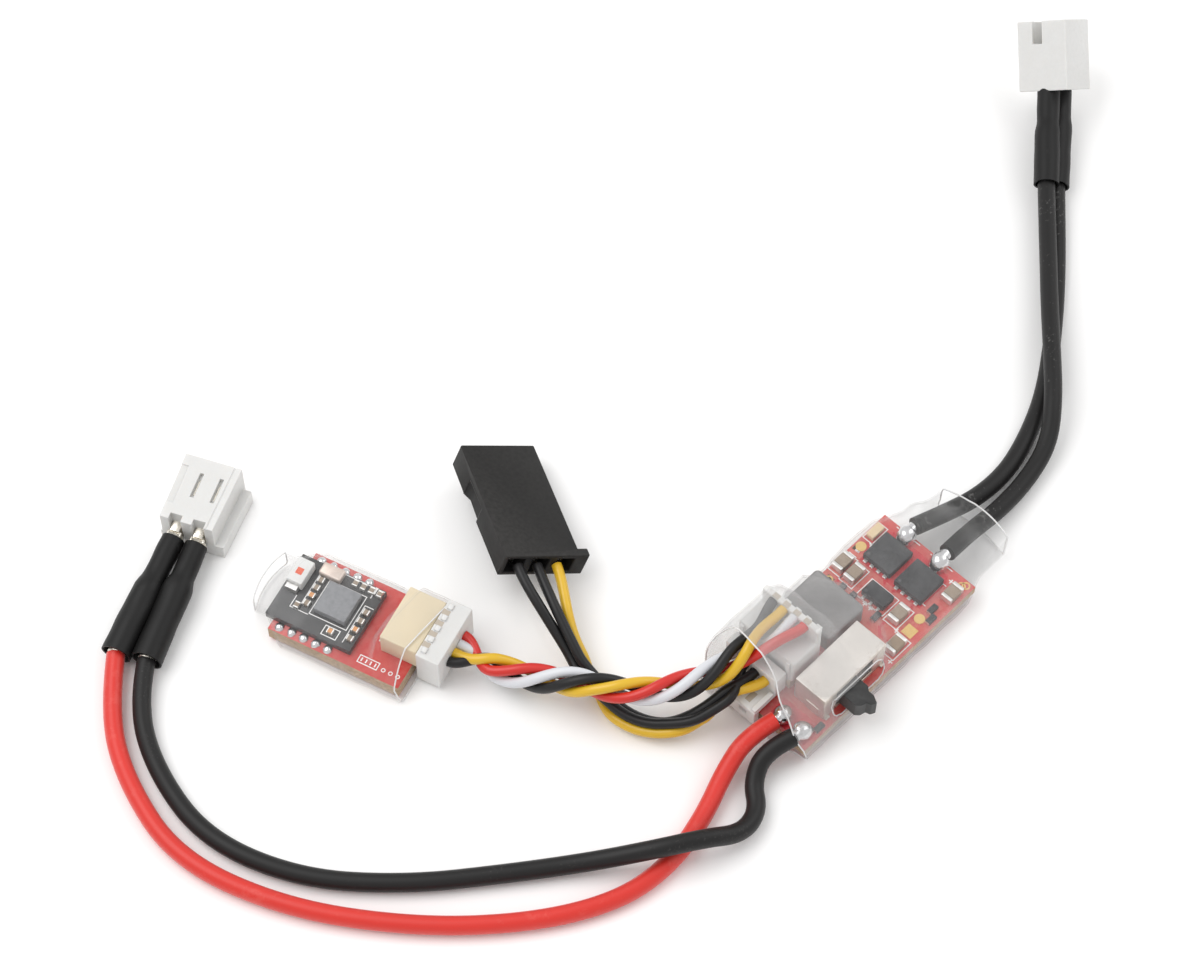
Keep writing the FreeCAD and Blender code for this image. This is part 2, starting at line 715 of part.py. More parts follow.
cord("motor_wire_front", "power_wire", [
    (12.25, -1.6, 3.1), (15.5, -1.45, 2.6), (19.6, -1.6, 1.75), (24.4, -1.2, 1.1), (28.8, -0.2, 1.6),
    (32.6, 2.0, 2.9), (36.2, 5.2, 3.0), (40.2, 9.0, 2.9), (44.0, 12.6, 1.9), (47.6, 16.0, 1.4), motor_ends[1],
])
cord("motor_wire_back", "power_wire", [
    (12.25, 2.45, 3.1), (15.6, 1.5, 2.6), (19.6, 0.7, 1.75), (24.0, 0.85, 1.0), (28.4, 2.0, 0.9),
    (33.0, 4.2, 0.9), (38.4, 7.4, 0.9), (44.0, 10.6, 0.9), (48.8, 14.2, 1.1), motor_ends[0],
])
cord("module_cable", "module_bundle", [
    (-5.1, 2.8, 8.6), (-7.8, 3.2, 8.5), (-10.7, 4.2, 7.7), (-13.8, 4.9, 6.2), (-16.9, 6.4, 5.0),
    (-19.5, 9.2, 4.5), (-21.5, 12.8, 4.4), (-23.2, 16.2, 2.9), (-24.6, 19.0, 2.2), (-25.62, 21.54, 2.6),
    (-26.4, 24.12, 2.8),
])
cord("servo_cable", "signal_bundle", [
    (-15.7, 24.0, 4.75), (-17.2, 21.1, 4.8), (-18.6, 17.6, 3.1), (-19.8, 13.6, 1.5), (-20.4, 9.8, 1.15),
    (-19.5, 6.5, 1.2), (-17.4, 4.0, 2.0), (-14.9, 2.7, 3.5), (-12.3, 2.35, 4.45), (-9.85, 2.3, 4.5),
])

# Checks and files

doc.recompute()
for item in doc.Objects:
    if "Invalid" in item.State or "Error" in item.State:
        raise RuntimeError(f"{item.Label} failed: {item.State}")
for item in nodes:
    if item.Shape.isNull() or not item.Shape.isValid() or not item.Shape.Solids:
        raise RuntimeError(f"{item.Label} has no valid shape")

os.makedirs("parts", exist_ok=True)
for item in nodes:
    item.Shape.exportStep(os.path.join("parts", item.Label + ".step"))
print(len(nodes), "nodes written")
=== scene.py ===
import json
import math
import bmesh
import bpy
from mathutils import Matrix, Vector, noise

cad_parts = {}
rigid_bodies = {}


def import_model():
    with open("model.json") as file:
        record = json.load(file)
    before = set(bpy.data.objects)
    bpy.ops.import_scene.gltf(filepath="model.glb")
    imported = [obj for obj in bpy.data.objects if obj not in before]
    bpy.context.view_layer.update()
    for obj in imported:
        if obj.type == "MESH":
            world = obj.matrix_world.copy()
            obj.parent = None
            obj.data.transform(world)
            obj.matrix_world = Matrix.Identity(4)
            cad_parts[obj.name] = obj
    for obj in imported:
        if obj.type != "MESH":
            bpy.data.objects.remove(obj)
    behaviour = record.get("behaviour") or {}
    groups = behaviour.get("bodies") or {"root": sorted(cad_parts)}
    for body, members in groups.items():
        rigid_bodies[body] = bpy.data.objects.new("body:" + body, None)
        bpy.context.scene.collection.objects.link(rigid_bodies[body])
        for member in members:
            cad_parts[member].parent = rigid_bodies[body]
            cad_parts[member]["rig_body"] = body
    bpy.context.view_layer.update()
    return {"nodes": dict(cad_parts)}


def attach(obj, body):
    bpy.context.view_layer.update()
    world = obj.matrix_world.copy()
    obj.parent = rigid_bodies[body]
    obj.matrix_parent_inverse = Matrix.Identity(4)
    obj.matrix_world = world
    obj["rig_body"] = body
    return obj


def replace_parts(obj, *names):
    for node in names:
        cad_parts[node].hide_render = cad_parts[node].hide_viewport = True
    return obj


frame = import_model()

nodes = frame["nodes"]
mm = 0.001
main = "main"
slider = "switch_slider"
finishes = {}  # material by short name
print("frame loaded:", len(nodes), "nodes")

# shader helpers


def addNode(tree, kind, **values):  # a node with its sockets filled: a value, or another node's output
    item = tree.nodes.new(kind)
    for name, value in values.items():
        socket = item.inputs[name.replace("_", " ")]
        if isinstance(value, bpy.types.NodeSocket):
            tree.links.new(value, socket)
        else:
            socket.default_value = value
    return item


def mathNode(tree, operation, *values):
    item = tree.nodes.new("ShaderNodeMath")
    item.operation = operation
    for socket, value in zip(item.inputs, values):
        if isinstance(value, bpy.types.NodeSocket):
            tree.links.new(value, socket)
        else:
            socket.default_value = value
    return item.outputs[0]


def mixColour(tree, factor, first, second):
    item = tree.nodes.new("ShaderNodeMix")
    item.data_type = "RGBA"
    for index, value in ((0, factor), (6, first), (7, second)):
        if isinstance(value, bpy.types.NodeSocket):
            tree.links.new(value, item.inputs[index])
        elif index == 0:
            item.inputs[index].default_value = value
        else:
            item.inputs[index].default_value = (*value[:3], 1)
    return item.outputs[2]


def newGroup(name, inputs, outputs):  # an effect shared by several materials
    tree = bpy.data.node_groups.new(name, "ShaderNodeTree")
    for label, kind, value in inputs:
        socket = tree.interface.new_socket(label, in_out="INPUT", socket_type=kind)
        socket.default_value = value
    for label, kind in outputs:
        tree.interface.new_socket(label, in_out="OUTPUT", socket_type=kind)
    return tree, tree.nodes.new("NodeGroupInput"), tree.nodes.new("NodeGroupOutput")


colourKind = "NodeSocketColor"
numberKind = "NodeSocketFloat"


def buildMottle():  # slow colour drift and fine tooth of a moulded or fired surface
    tree, source, result = newGroup(
        "mottle",
        [("Colour", colourKind, (0.5, 0.5, 0.5, 1)), ("Drift", numberKind, 0.1), ("Patch Scale", numberKind, 300.0),
         ("Tooth Scale", numberKind, 9000.0)],
        [("Colour", colourKind), ("Height", numberKind), ("Mask", numberKind)])
    place = tree.nodes.new("ShaderNodeTexCoord").outputs["Object"]
    patch = addNode(tree, "ShaderNodeTexNoise", Vector=place, Scale=source.outputs["Patch Scale"], Detail=4.0)
    tooth = addNode(tree, "ShaderNodeTexNoise", Vector=place, Scale=source.outputs["Tooth Scale"], Detail=3.0)
    swing = mathNode(tree, "SUBTRACT", patch.outputs[0], 0.5)
    grainSwing = mathNode(tree, "SUBTRACT", tooth.outputs[0], 0.5)
    both = mathNode(tree, "ADD", mathNode(tree, "MULTIPLY", swing, 2.4), grainSwing)
    gain = mathNode(tree, "ADD", mathNode(tree, "MULTIPLY", both, source.outputs["Drift"]), 1.0)
    scaled = tree.nodes.new("ShaderNodeVectorMath")
    scaled.operation = "SCALE"
    tree.links.new(source.outputs["Colour"], scaled.inputs[0])
    tree.links.new(gain, scaled.inputs["Scale"])
    tree.links.new(scaled.outputs[0], result.inputs["Colour"])
    tree.links.new(tooth.outputs[0], result.inputs["Height"])
    tree.links.new(patch.outputs[0], result.inputs["Mask"])
    return tree


def buildEdgeLight():  # painted highlight on sharp corners and edges, mixed with some wear where handling has polished them
    tree, source, result = newGroup(
        "edgeLight",
        [("Colour", colourKind, (0.5, 0.5, 0.5, 1)), ("Edge Colour", colourKind, (1, 1, 1, 1)),
         ("Amount", numberKind, 0.4), ("Sharpness", numberKind, 8.0)],
        [("Colour", colourKind), ("Mask", numberKind)])
    point = tree.nodes.new("ShaderNodeNewGeometry").outputs["Pointiness"]
    lifted = mathNode(tree, "MULTIPLY", mathNode(tree, "SUBTRACT", point, 0.505), source.outputs["Sharpness"])
    place = tree.nodes.new("ShaderNodeTexCoord").outputs["Object"]
    broken = addNode(tree, "ShaderNodeTexNoise", Vector=place, Scale=2500.0, Detail=3.0)
    # pointiness broken by noise: where the painted edge highlight and the edge wear fall
    highlightAndWear = mathNode(tree, "MULTIPLY", lifted, mathNode(tree, "MULTIPLY", broken.outputs[0], 1.8))
    held = mathNode(tree, "MINIMUM", mathNode(tree, "MAXIMUM", highlightAndWear, 0.0), 1.0)
    mask = mathNode(tree, "MULTIPLY", held, source.outputs["Amount"])
    mixed = mixColour(tree, mask, source.outputs["Colour"], source.outputs["Edge Colour"])
    tree.links.new(mixed, result.inputs["Colour"])
    tree.links.new(mask, result.inputs["Mask"])
    return tree


def buildScuff():  # pale rubbed flecks and dust
    tree, source, result = newGroup(
        "scuff",
        [("Colour", colourKind, (0.5, 0.5, 0.5, 1)), ("Scuff Colour", colourKind, (0.7, 0.7, 0.7, 1)),
         ("Amount", numberKind, 0.3), ("Scale", numberKind, 1500.0), ("Coverage", numberKind, 0.35)],
        [("Colour", colourKind), ("Mask", numberKind)])
    place = tree.nodes.new("ShaderNodeTexCoord").outputs["Object"]
    flecks = addNode(tree, "ShaderNodeTexNoise", Vector=place, Scale=source.outputs["Scale"], Detail=5.0, Roughness=0.7)
    areas = addNode(tree, "ShaderNodeTexNoise", Vector=place, Scale=180.0, Detail=2.0)
    limit = mathNode(tree, "SUBTRACT", 1.0, source.outputs["Coverage"])
    over = mathNode(tree, "SUBTRACT", mathNode(tree, "ADD", flecks.outputs[0], mathNode(tree, "MULTIPLY",
                    mathNode(tree, "SUBTRACT", areas.outputs[0], 0.5), 0.5)), limit)
    steep = mathNode(tree, "MINIMUM", mathNode(tree, "MAXIMUM", mathNode(tree, "MULTIPLY", over, 9.0), 0.0), 1.0)
    mask = mathNode(tree, "MULTIPLY", steep, source.outputs["Amount"])
    mixed = mixColour(tree, mask, source.outputs["Colour"], source.outputs["Scuff Colour"])
    tree.links.new(mixed, result.inputs["Colour"])
    tree.links.new(mask, result.inputs["Mask"])
    return tree


effects = {"mottle": buildMottle(), "edgeLight": buildEdgeLight(), "scuff": buildScuff()}


def useEffect(tree, name, **values):
    item = tree.nodes.new("ShaderNodeGroup")
    item.node_tree = effects[name]
    for label, value in values.items():
        socket = item.inputs[label.replace("_", " ")]
        if isinstance(value, bpy.types.NodeSocket):
            tree.links.new(value, socket)
        else:
            socket.default_value = (*value[:3], 1) if hasattr(value, "__len__") else value
    return item


def makeFinish(name, colour, rough=0.5, metal=0.0, drift=0.1, patch=300.0, tooth=9000.0, bump=0.1, reach=0.02,
               edge=0.0, edgeColour=(1, 1, 1), scuff=0.0, scuffColour=(0.7, 0.7, 0.7), scuffScale=1500.0,
               coverage=0.35, coat=0.0, coatRough=0.1, sheen=0.0, specular=0.5, scatter=0.0):
    material = bpy.data.materials.new(name)
    material.use_nodes = True
    tree = material.node_tree
    shader = tree.nodes["Principled BSDF"]
    mottle = useEffect(tree, "mottle", Colour=colour, Drift=drift, Patch_Scale=patch, Tooth_Scale=tooth)
    tint = mottle.outputs["Colour"]
    roughness = mathNode(tree, "ADD", mathNode(tree, "MULTIPLY", mottle.outputs["Mask"], rough * 0.35), rough * 0.82)
    # edge and edgeColour set the painted highlight on sharp edges, partly also edge wear
    if edge:
        rim = useEffect(tree, "edgeLight", Colour=tint, Edge_Colour=edgeColour, Amount=edge)
        tint = rim.outputs["Colour"]
    if scuff:
        rubbed = useEffect(tree, "scuff", Colour=tint, Scuff_Colour=scuffColour, Amount=scuff, Scale=scuffScale,
                           Coverage=coverage)
        tint = rubbed.outputs["Colour"]
        roughness = mathNode(tree, "ADD", roughness, mathNode(tree, "MULTIPLY", rubbed.outputs["Mask"], 0.25))
    tree.links.new(tint, shader.inputs["Base Color"])
    tree.links.new(roughness, shader.inputs["Roughness"])
    relief = addNode(tree, "ShaderNodeBump", Strength=bump, Distance=reach * mm, Height=mottle.outputs["Height"])
    tree.links.new(relief.outputs[0], shader.inputs["Normal"])
    shader.inputs["Metallic"].default_value = metal
    shader.inputs["Coat Weight"].default_value = coat
    shader.inputs["Coat Roughness"].default_value = coatRough
    shader.inputs["Sheen Weight"].default_value = sheen
    shader.inputs["Specular IOR Level"].default_value = specular
    if scatter:
        shader.inputs["Subsurface Weight"].default_value = scatter
        shader.inputs["Subsurface Radius"].default_value = (1, 0.9, 0.8)
        shader.inputs["Subsurface Scale"].default_value = 0.4 * mm
    finishes[name] = material
    return material, tree, shader


# camera, floor and lights

cameraLook = {"place": (-121.6, -86.3, 274.3), "target": (-3.17, 28.33, 0.0), "lens": 100.98}
cameraData = bpy.data.cameras.new("camera")
cameraData.lens = cameraLook["lens"]
cameraData.sensor_width = 36
cameraData.clip_start = 0.01
camera = bpy.data.objects.new("camera", cameraData)
camera.location = Vector(cameraLook["place"]) * mm
toTarget = Vector(cameraLook["target"]) - Vector(cameraLook["place"])
camera.rotation_euler = toTarget.to_track_quat("-Z", "Y").to_euler()
bpy.context.scene.collection.objects.link(camera)
bpy.context.scene.camera = camera
bpy.context.scene.view_settings.view_transform = "Standard"

studioLook = {"worldStrength": 0.78, "keyPower": 0.42, "fillPower": 0.18, "floorColour": (0.97, 0.965, 0.96)}
world = bpy.data.worlds.new("studio")
world.use_nodes = True
world.node_tree.nodes["Background"].inputs["Color"].default_value = (1, 1, 1, 1)
world.node_tree.nodes["Background"].inputs["Strength"].default_value = studioLook["worldStrength"]
bpy.context.scene.world = world


def softbox(name, place, size, power, aim=(0, 25, 0)):  # a square area light
    data = bpy.data.lights.new(name, "AREA")
    data.shape = "RECTANGLE"
    data.size, data.size_y = size[0] * mm, size[1] * mm
    data.energy = power
    lamp = bpy.data.objects.new(name, data)
    lamp.location = Vector(place) * mm
    lamp.rotation_euler = (Vector(aim) - Vector(place)).to_track_quat("-Z", "Y").to_euler()
    bpy.context.scene.collection.objects.link(lamp)
    return lamp


softbox("keyLight", (-90, 140, 260), (260, 200), studioLook["keyPower"])
softbox("fillLight", (190, -60, 220), (200, 200), studioLook["fillPower"])

floorMesh = bpy.data.meshes.new("floor")
floorMesh.from_pydata([(-3, -3, 0), (3, -3, 0), (3, 3, 0), (-3, 3, 0)], [], [(0, 1, 2, 3)])
floor = bpy.data.objects.new("floor", floorMesh)
floor.location.z = -0.00002
bpy.context.scene.collection.objects.link(floor)
makeFinish("floorPaper", studioLook["floorColour"], rough=0.75, drift=0.004, patch=3.0, tooth=400.0, bump=0.02)
floorMesh.materials.append(finishes["floorPaper"])
print("camera, floor and lights ready")

# mesh helpers


def newObject(name, verts, faces):
    mesh = bpy.data.meshes.new(name)
    mesh.from_pydata([Vector(v) * mm for v in verts], [], faces)
    mesh.validate()
    item = bpy.data.objects.new(name, mesh)
    bpy.context.scene.collection.objects.link(item)
    return item


def dress(item, finish, body=main, stands=()):  # finish may be several names
    for one in [finish] if isinstance(finish, str) else finish:
        item.data.materials.append(finishes[one])
    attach(item, body)
    if stands:
        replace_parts(item, *stands)
    return item


def smoothOver(item, angle=40):
    item.data.shade_smooth()
    item.data.set_sharp_from_angle(angle=math.radians(angle))


def rounded(item, width, segments=2, angle=32):
    edges = item.modifiers.new("roundedEdges", "BEVEL")
    edges.width = width * mm
    edges.segments = segments
    edges.limit_method = "ANGLE"
    edges.angle_limit = math.radians(angle)
    edges.harden_normals = True
    item.data.shade_smooth()
    return item


def fromNode(node, finish, edge=0.06, segments=2, name=None):  # a CAD node's shape with softened edges
    form = bmesh.new()
    form.from_mesh(nodes[node].data)
    bmesh.ops.remove_doubles(form, verts=form.verts, dist=0.002 * mm)
    bmesh.ops.dissolve_limit(form, angle_limit=math.radians(1.5), verts=form.verts, edges=form.edges)
    words = node.split("_")
    mesh = bpy.data.meshes.new(name or words[0] + "".join(word.capitalize() for word in words[1:]))
    form.to_mesh(mesh)
    form.free()
    item = bpy.data.objects.new(mesh.name, mesh)
    bpy.context.scene.collection.objects.link(item)
    if edge:
        rounded(item, edge, segments)
    return dress(item, finish, nodes[node]["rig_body"], [node])


def carve(item, verts, faces):  # cuts a closed form out of an object and keeps the result as its mesh
    cutter = newObject("cutter", verts, faces)
    opening = item.modifiers.new("opening", "BOOLEAN")
    opening.operation = "DIFFERENCE"
    opening.solver = "EXACT"
    opening.object = cutter
    bpy.context.view_layer.update()
    cut = bpy.data.meshes.new_from_object(item.evaluated_get(bpy.context.evaluated_depsgraph_get()))
    item.modifiers.clear()
    item.data = cut
    bpy.data.objects.remove(cutter)


def boxForm(verts, faces, low, high, turn=None):  # adds a box to a list of corners and faces
    base = len(verts)
    corners = [Vector((x, y, z)) for z in (low[2], high[2]) for x, y in
               ((low[0], low[1]), (high[0], low[1]), (high[0], high[1]), (low[0], high[1]))]
    verts.extend(turn @ corner if turn else corner for corner in corners)
    for face in ((3, 2, 1, 0), (4, 5, 6, 7), (0, 1, 5, 4), (1, 2, 6, 5), (2, 3, 7, 6), (3, 0, 4, 7)):
        faces.append([base + number for number in face])


def slab(verts, faces, outline, low, high, turn=None):  # adds an upright prism on a flat outline
    base = len(verts)
    count = len(outline)
    for z in (low, high):
        for x, y in outline:
            verts.append(turn @ Vector((x, y, z)) if turn else Vector((x, y, z)))
    faces.append([base + number for number in reversed(range(count))])
    faces.append([base + count + number for number in range(count)])
    for number in range(count):
        other = (number + 1) % count
        faces.append([base + number, base + other, base + count + other, base + count + number])


def stroke(verts, faces, line, width, low, high, turn=None):  # adds a raised band along a flat line
    closed = line[0] == line[-1]
    points = [Vector(point) for point in (line[:-1] if closed else line)]
    count = len(points)
    sides = []
    for number, point in enumerate(points):
        before = points[number - 1] if closed or number else point
        after = points[(number + 1) % count] if closed or number + 1 < count else point
        inward = (point - before).normalized() if before != point else (after - point).normalized()
        onward = (after - point).normalized() if after != point else inward
        across = Vector((-(inward.y + onward.y), inward.x + onward.x)).normalized()
        lean = max(0.5, across.dot(Vector((-onward.y, onward.x))))
        sides.append((point + across * width / 2 / lean, point - across * width / 2 / lean))
    for number in range(count if closed else count - 1):
        one, two = sides[number], sides[(number + 1) % count]
        slab(verts, faces, [one[0][:], one[1][:], two[1][:], two[0][:]], low, high, turn)


def tube(verts, faces, line, radius, around=16, marks=None, mark=0, wobble=0.0):  # adds a capped tube along a line
    base = len(verts)
    reference = Vector((0, 0, 1))
    for number, point in enumerate(line):
        ahead = line[min(number + 1, len(line) - 1)] - line[max(number - 1, 0)]
        ahead.normalize()
        side = ahead.cross(reference).normalized()
        reference = side.cross(ahead).normalized()
        thick = radius(number / (len(line) - 1)) if callable(radius) else radius
        for step in range(around):
            angle = 2 * math.pi * step / around
            grow = 1 + wobble * noise.noise(point * 0.9 + Vector((step * 0.3, 0, 0)))
            verts.append(point + (side * math.cos(angle) + reference * math.sin(angle)) * thick * grow)
    for number in range(len(line) - 1):
        for step in range(around):
            other = (step + 1) % around
            row, following = base + number * around, base + (number + 1) * around
            faces.append([row + step, row + other, following + other, following + step])
            if marks is not None:
                marks.append(mark)
    faces.append([base + step for step in reversed(range(around))])
    faces.append([base + (len(line) - 1) * around + step for step in range(around)])
    if marks is not None:
        marks.extend([mark, mark])


def splinePoints(points, name):  # a smooth route's own points, in millimetres
    data = bpy.data.curves.new(name, "CURVE")
    data.dimensions = "3D"
    line = data.splines.new("NURBS")
    line.points.add(len(points) - 1)
    for point, place in zip(line.points, points):
        point.co = (*(Vector(place) * mm), 1)
    line.order_u = 3
    line.use_endpoint_u = True
    data.resolution_u = 20
    guide = bpy.data.objects.new(name, data)
    bpy.context.scene.collection.objects.link(guide)
    bpy.context.view_layer.update()
    mesh = bpy.data.meshes.new_from_object(guide)
    route = [vertex.co.copy() / mm for vertex in mesh.vertices]
    bpy.data.objects.remove(guide)
    bpy.data.curves.remove(data)
    bpy.data.meshes.remove(mesh)
    return route


def lengthOf(route):
    return sum((after - before).length for before, after in zip(route, route[1:]))


# power wires

wireLook = {"diameter": 1.75, "red": (0.66, 0.022, 0.012), "black": (0.0095, 0.009, 0.009)}
makeFinish("redSilicone", wireLook["red"], rough=0.42, drift=0.06, patch=120, tooth=6000, bump=0.12, reach=0.01,
           scuff=0.10, scuffColour=(0.85, 0.25, 0.2), scuffScale=900, coverage=0.42, sheen=0.25, specular=0.5,
           scatter=0.08)
makeFinish("blackSilicone", wireLook["black"], rough=0.47, drift=0.12, patch=150, tooth=6000, bump=0.12, reach=0.01,
           scuff=0.25, scuffColour=(0.12, 0.115, 0.11), scuffScale=4200, coverage=0.36, sheen=0.03, specular=0.32)
makeFinish("scuffedSilicone", wireLook["black"], rough=0.5, drift=0.12, patch=150, tooth=6000, bump=0.16, reach=0.012,
           scuff=0.45, scuffColour=(0.2, 0.195, 0.19), scuffScale=2600, coverage=0.38, sheen=0.03, specular=0.3)

routes = {
    "batteryWireRed": [
        (-11.65, -1.9, 3.1), (-14.5, -1.1, 2.75), (-17.8, -1.5, 1.4), (-22.2, -3.1, 0.95), (-27.6, -4.2, 0.9),
        (-33.4, -3.4, 0.9), (-40.2, 0.6, 0.9), (-47.6, 7.6, 0.9), (-54.4, 17.2, 0.9), (-57.9, 27.6, 0.9),
        (-56.0, 36.4, 0.95), (-52.6, 42.6, 1.3), (-48.1, 46.6, 1.6)],
    "batteryWireBlack": [
        (-11.65, -4.25, 3.1), (-14.3, -3.1, 2.5), (-16.9, -4.0, 1.2), (-18.6, -6.3, 1.1), (-21.4, -6.9, 1.5),
        (-24.6, -5.3, 3.1), (-28.4, -2.9, 3.1), (-32.6, 1.0, 1.1), (-38.4, 5.5, 0.9), (-45.4, 11.2, 0.9),
        (-51.6, 18.4, 0.9), (-54.8, 27.2, 0.9), (-53.4, 35.4, 0.95), (-50.2, 41.4, 1.3), (-46.6, 44.1, 1.6)],
    "motorWireFront": [
        (12.25, -1.6, 3.1), (15.5, -1.45, 2.6), (19.6, -1.6, 1.75), (24.4, -1.2, 1.1), (28.8, -0.2, 1.6),
        (32.2, 2.3, 3.0), (36.0, 5.7, 3.0), (40.4, 9.7, 2.7), (44.2, 13.0, 2.5), (47.8, 16.2, 2.5), (51.2, 19.2, 2.6)],
    "motorWireBack": [
        (12.25, 2.45, 3.1), (15.6, 1.5, 2.6), (19.6, 0.7, 1.75), (24.0, 0.85, 1.0), (28.4, 2.0, 0.9),
        (33.0, 3.9, 0.9), (38.2, 7.2, 0.9), (43.6, 11.2, 0.9), (48.4, 15.2, 1.0), (52.5, 18.8, 1.32)],
    "moduleCable": [
        (-5.1, 2.8, 8.6), (-7.4, 2.7, 8.5), (-10.0, 3.3, 7.6), (-13.1, 4.2, 6.1), (-16.5, 6.1, 5.0),
        (-19.5, 9.2, 4.5), (-21.5, 12.8, 4.4), (-23.2, 16.2, 2.9), (-24.6, 19.0, 2.2), (-25.62, 21.54, 2.6),
        (-26.4, 24.12, 2.8)],
    "servoCable": [
        (-15.7, 24.0, 4.75), (-17.2, 21.1, 4.8), (-18.6, 17.6, 3.1), (-19.8, 13.6, 1.5), (-20.4, 9.8, 1.15),
        (-19.5, 6.5, 1.2), (-17.4, 4.0, 2.0), (-14.9, 2.7, 3.5), (-12.3, 2.35, 4.45), (-9.85, 2.3, 4.5)],
}


def powerWire(name, finish, node):
    data = bpy.data.curves.new(name, "CURVE")
    data.dimensions = "3D"
    line = data.splines.new("NURBS")
    line.points.add(len(routes[name]) - 1)
    for point, place in zip(line.points, routes[name]):
        point.co = (*(Vector(place) * mm), 1)
    line.order_u = 3
    line.use_endpoint_u = True
    line.use_smooth = True
    data.resolution_u = 20
    data.bevel_depth = wireLook["diameter"] / 2 * mm
    data.bevel_resolution = 7
    data.use_fill_caps = True
    item = bpy.data.objects.new(name, data)
    bpy.context.scene.collection.objects.link(item)
    return dress(item, finish, main, [node])


wires = {
    "batteryWireRed": powerWire("batteryWireRed", "redSilicone", "battery_wire_red"),
    "batteryWireBlack": powerWire("batteryWireBlack", "blackSilicone", "battery_wire_black"),
    "motorWireFront": powerWire("motorWireFront", "scuffedSilicone", "motor_wire_front"),
    "motorWireBack": powerWire("motorWireBack", "scuffedSilicone", "motor_wire_back"),
}

# twisted cables

strandLook = {"radius": 0.5, "lay": 0.88, "turn": 13.6}
makeFinish("redStrand", (0.60, 0.020, 0.014), rough=0.33, drift=0.05, patch=300, bump=0.06, reach=0.008, coat=0.15)
makeFinish("whiteStrand", (0.66, 0.67, 0.70), rough=0.35, drift=0.03, patch=300, bump=0.06, reach=0.008, scatter=0.1)
makeFinish("yellowStrand", (0.70, 0.43, 0.018), rough=0.33, drift=0.05, patch=300, bump=0.06, reach=0.008, coat=0.15)
makeFinish("blackStrand", (0.012, 0.0115, 0.012), rough=0.4, drift=0.1, patch=300, bump=0.06, reach=0.008,
           scuff=0.2, scuffColour=(0.1, 0.1, 0.1), scuffScale=5000, coverage=0.33, specular=0.35)
moduleTurn = Matrix.Translation((-30.4, 33.2, 0)) @ Matrix.Rotation(math.radians(-73.2), 4, "Z")
servoTurn = (Matrix.Rotation(math.radians(-117), 4, "Z") @ Matrix.Rotation(math.radians(-8), 4, "Y")
             @ Matrix.Rotation(math.radians(-24), 4, "X") @ Matrix.Rotation(math.radians(-90), 4, "Y")
             @ Matrix.Rotation(math.radians(90), 4, "Z"))
servoTurn = Matrix.Translation((-15.7, 24.0, 4.75)) @ servoTurn


def between(table, share):  # a value read from a table of (share, value) steps
    for (low, first), (high, second) in zip(table, table[1:]):
        if share <= high:
            part = (share - low) / (high - low)
            return first + (second - first) * part * part * (3 - 2 * part)
    return table[-1][1]


def strandCable(name, colours, windings, startSpread, endSpread, lay, node, fans):
    # windings tell each strand's angle round the route, in degrees, zero at the side and 90 on top
    # each spread gives a strand's offset from the route's end, where it meets its contact
    route = splinePoints(routes[name], name + "Guide")
    total = lengthOf(route)
    verts, faces, marks = [], [], []
    for number, winding in enumerate(windings):
        line = []
        walked = 0.0
        reference = Vector((0, 0, 1))
        for index, point in enumerate(route):
            if index:
                walked += (point - route[index - 1]).length
            ahead = (route[min(index + 1, len(route) - 1)] - route[max(index - 1, 0)]).normalized()
            side = ahead.cross(reference).normalized()
            reference = side.cross(ahead).normalized()
            share = walked / total
            angle = math.radians(winding(walked) if callable(winding) else between(winding, share))
            wound = (side * math.cos(angle) + reference * math.sin(angle)) * lay
            wound += Vector((noise.noise(point * 0.17 + Vector((number * 7, 0, 0))),
                             noise.noise(point * 0.17 + Vector((0, number * 7, 0))), 0)) * 0.16
            nearStart = max(0.0, 1 - walked / fans[0])
            nearEnd = max(0.0, 1 - (total - walked) / fans[1])
            nearStart = nearStart * nearStart * (3 - 2 * nearStart)
            nearEnd = nearEnd * nearEnd * (3 - 2 * nearEnd)
            offset = wound * (1 - nearStart) * (1 - nearEnd)
            offset += startSpread[number] * nearStart + endSpread[number] * nearEnd
            line.append(point + offset)
        tube(verts, faces, line, strandLook["radius"], 14, marks, number)
    item = newObject(name, verts, faces)
    dress(item, colours, main, [node])
    for polygon, mark in zip(item.data.polygons, marks):
        polygon.material_index = mark
    smoothOver(item, 60)
    return item, [point * mm for point in route]


pitch = 1.25
boardSide = Vector((0, 1, 0))
moduleSide = moduleTurn.to_3x3() @ Vector((0, 1, 0))
moduleFirst = (245, 335, 155, 65)  # black, yellow, white and red at the main board, in degrees
moduleStrands, modulePath = strandCable(
    "moduleCable", ["blackStrand", "yellowStrand", "whiteStrand", "redStrand"],
    [lambda walked, first=first: first + 360 * walked / strandLook["turn"] for first in moduleFirst],
    [boardSide * step * pitch for step in (1.5, 0.5, -0.5, -1.5)],
    [moduleSide * step * pitch * 0.8 for step in (-1.5, -0.5, 0.5, 1.5)],
    strandLook["lay"], "module_cable", (5.5, 4.0))
servoSide = servoTurn.to_3x3() @ Vector((1, 0, 0))
servoStrands, servoPath = strandCable(
    "servoCable", ["blackStrand", "blackStrand", "yellowStrand"],
    [[(0, -15), (0.3, -15), (0.5, 90), (0.66, 90), (0.8, 45), (1, 0)],
     [(0, 95), (0.3, 95), (0.5, 200), (0.66, 200), (0.8, 150), (1, 120)],
     [(0, 200), (0.3, 210), (0.42, 270), (0.54, 345), (0.68, 345), (0.78, 270), (0.88, 200), (1, 190)]],
    [servoSide * (step * 2.0 - 0.2) for step in (-1, 0, 1)],
    [boardSide * step * pitch for step in (1, 0, -1)],
    0.6, "servo_cable", (9.0, 4.0))
print("wires and cables ready")

# sleeves, stretched over what they hold


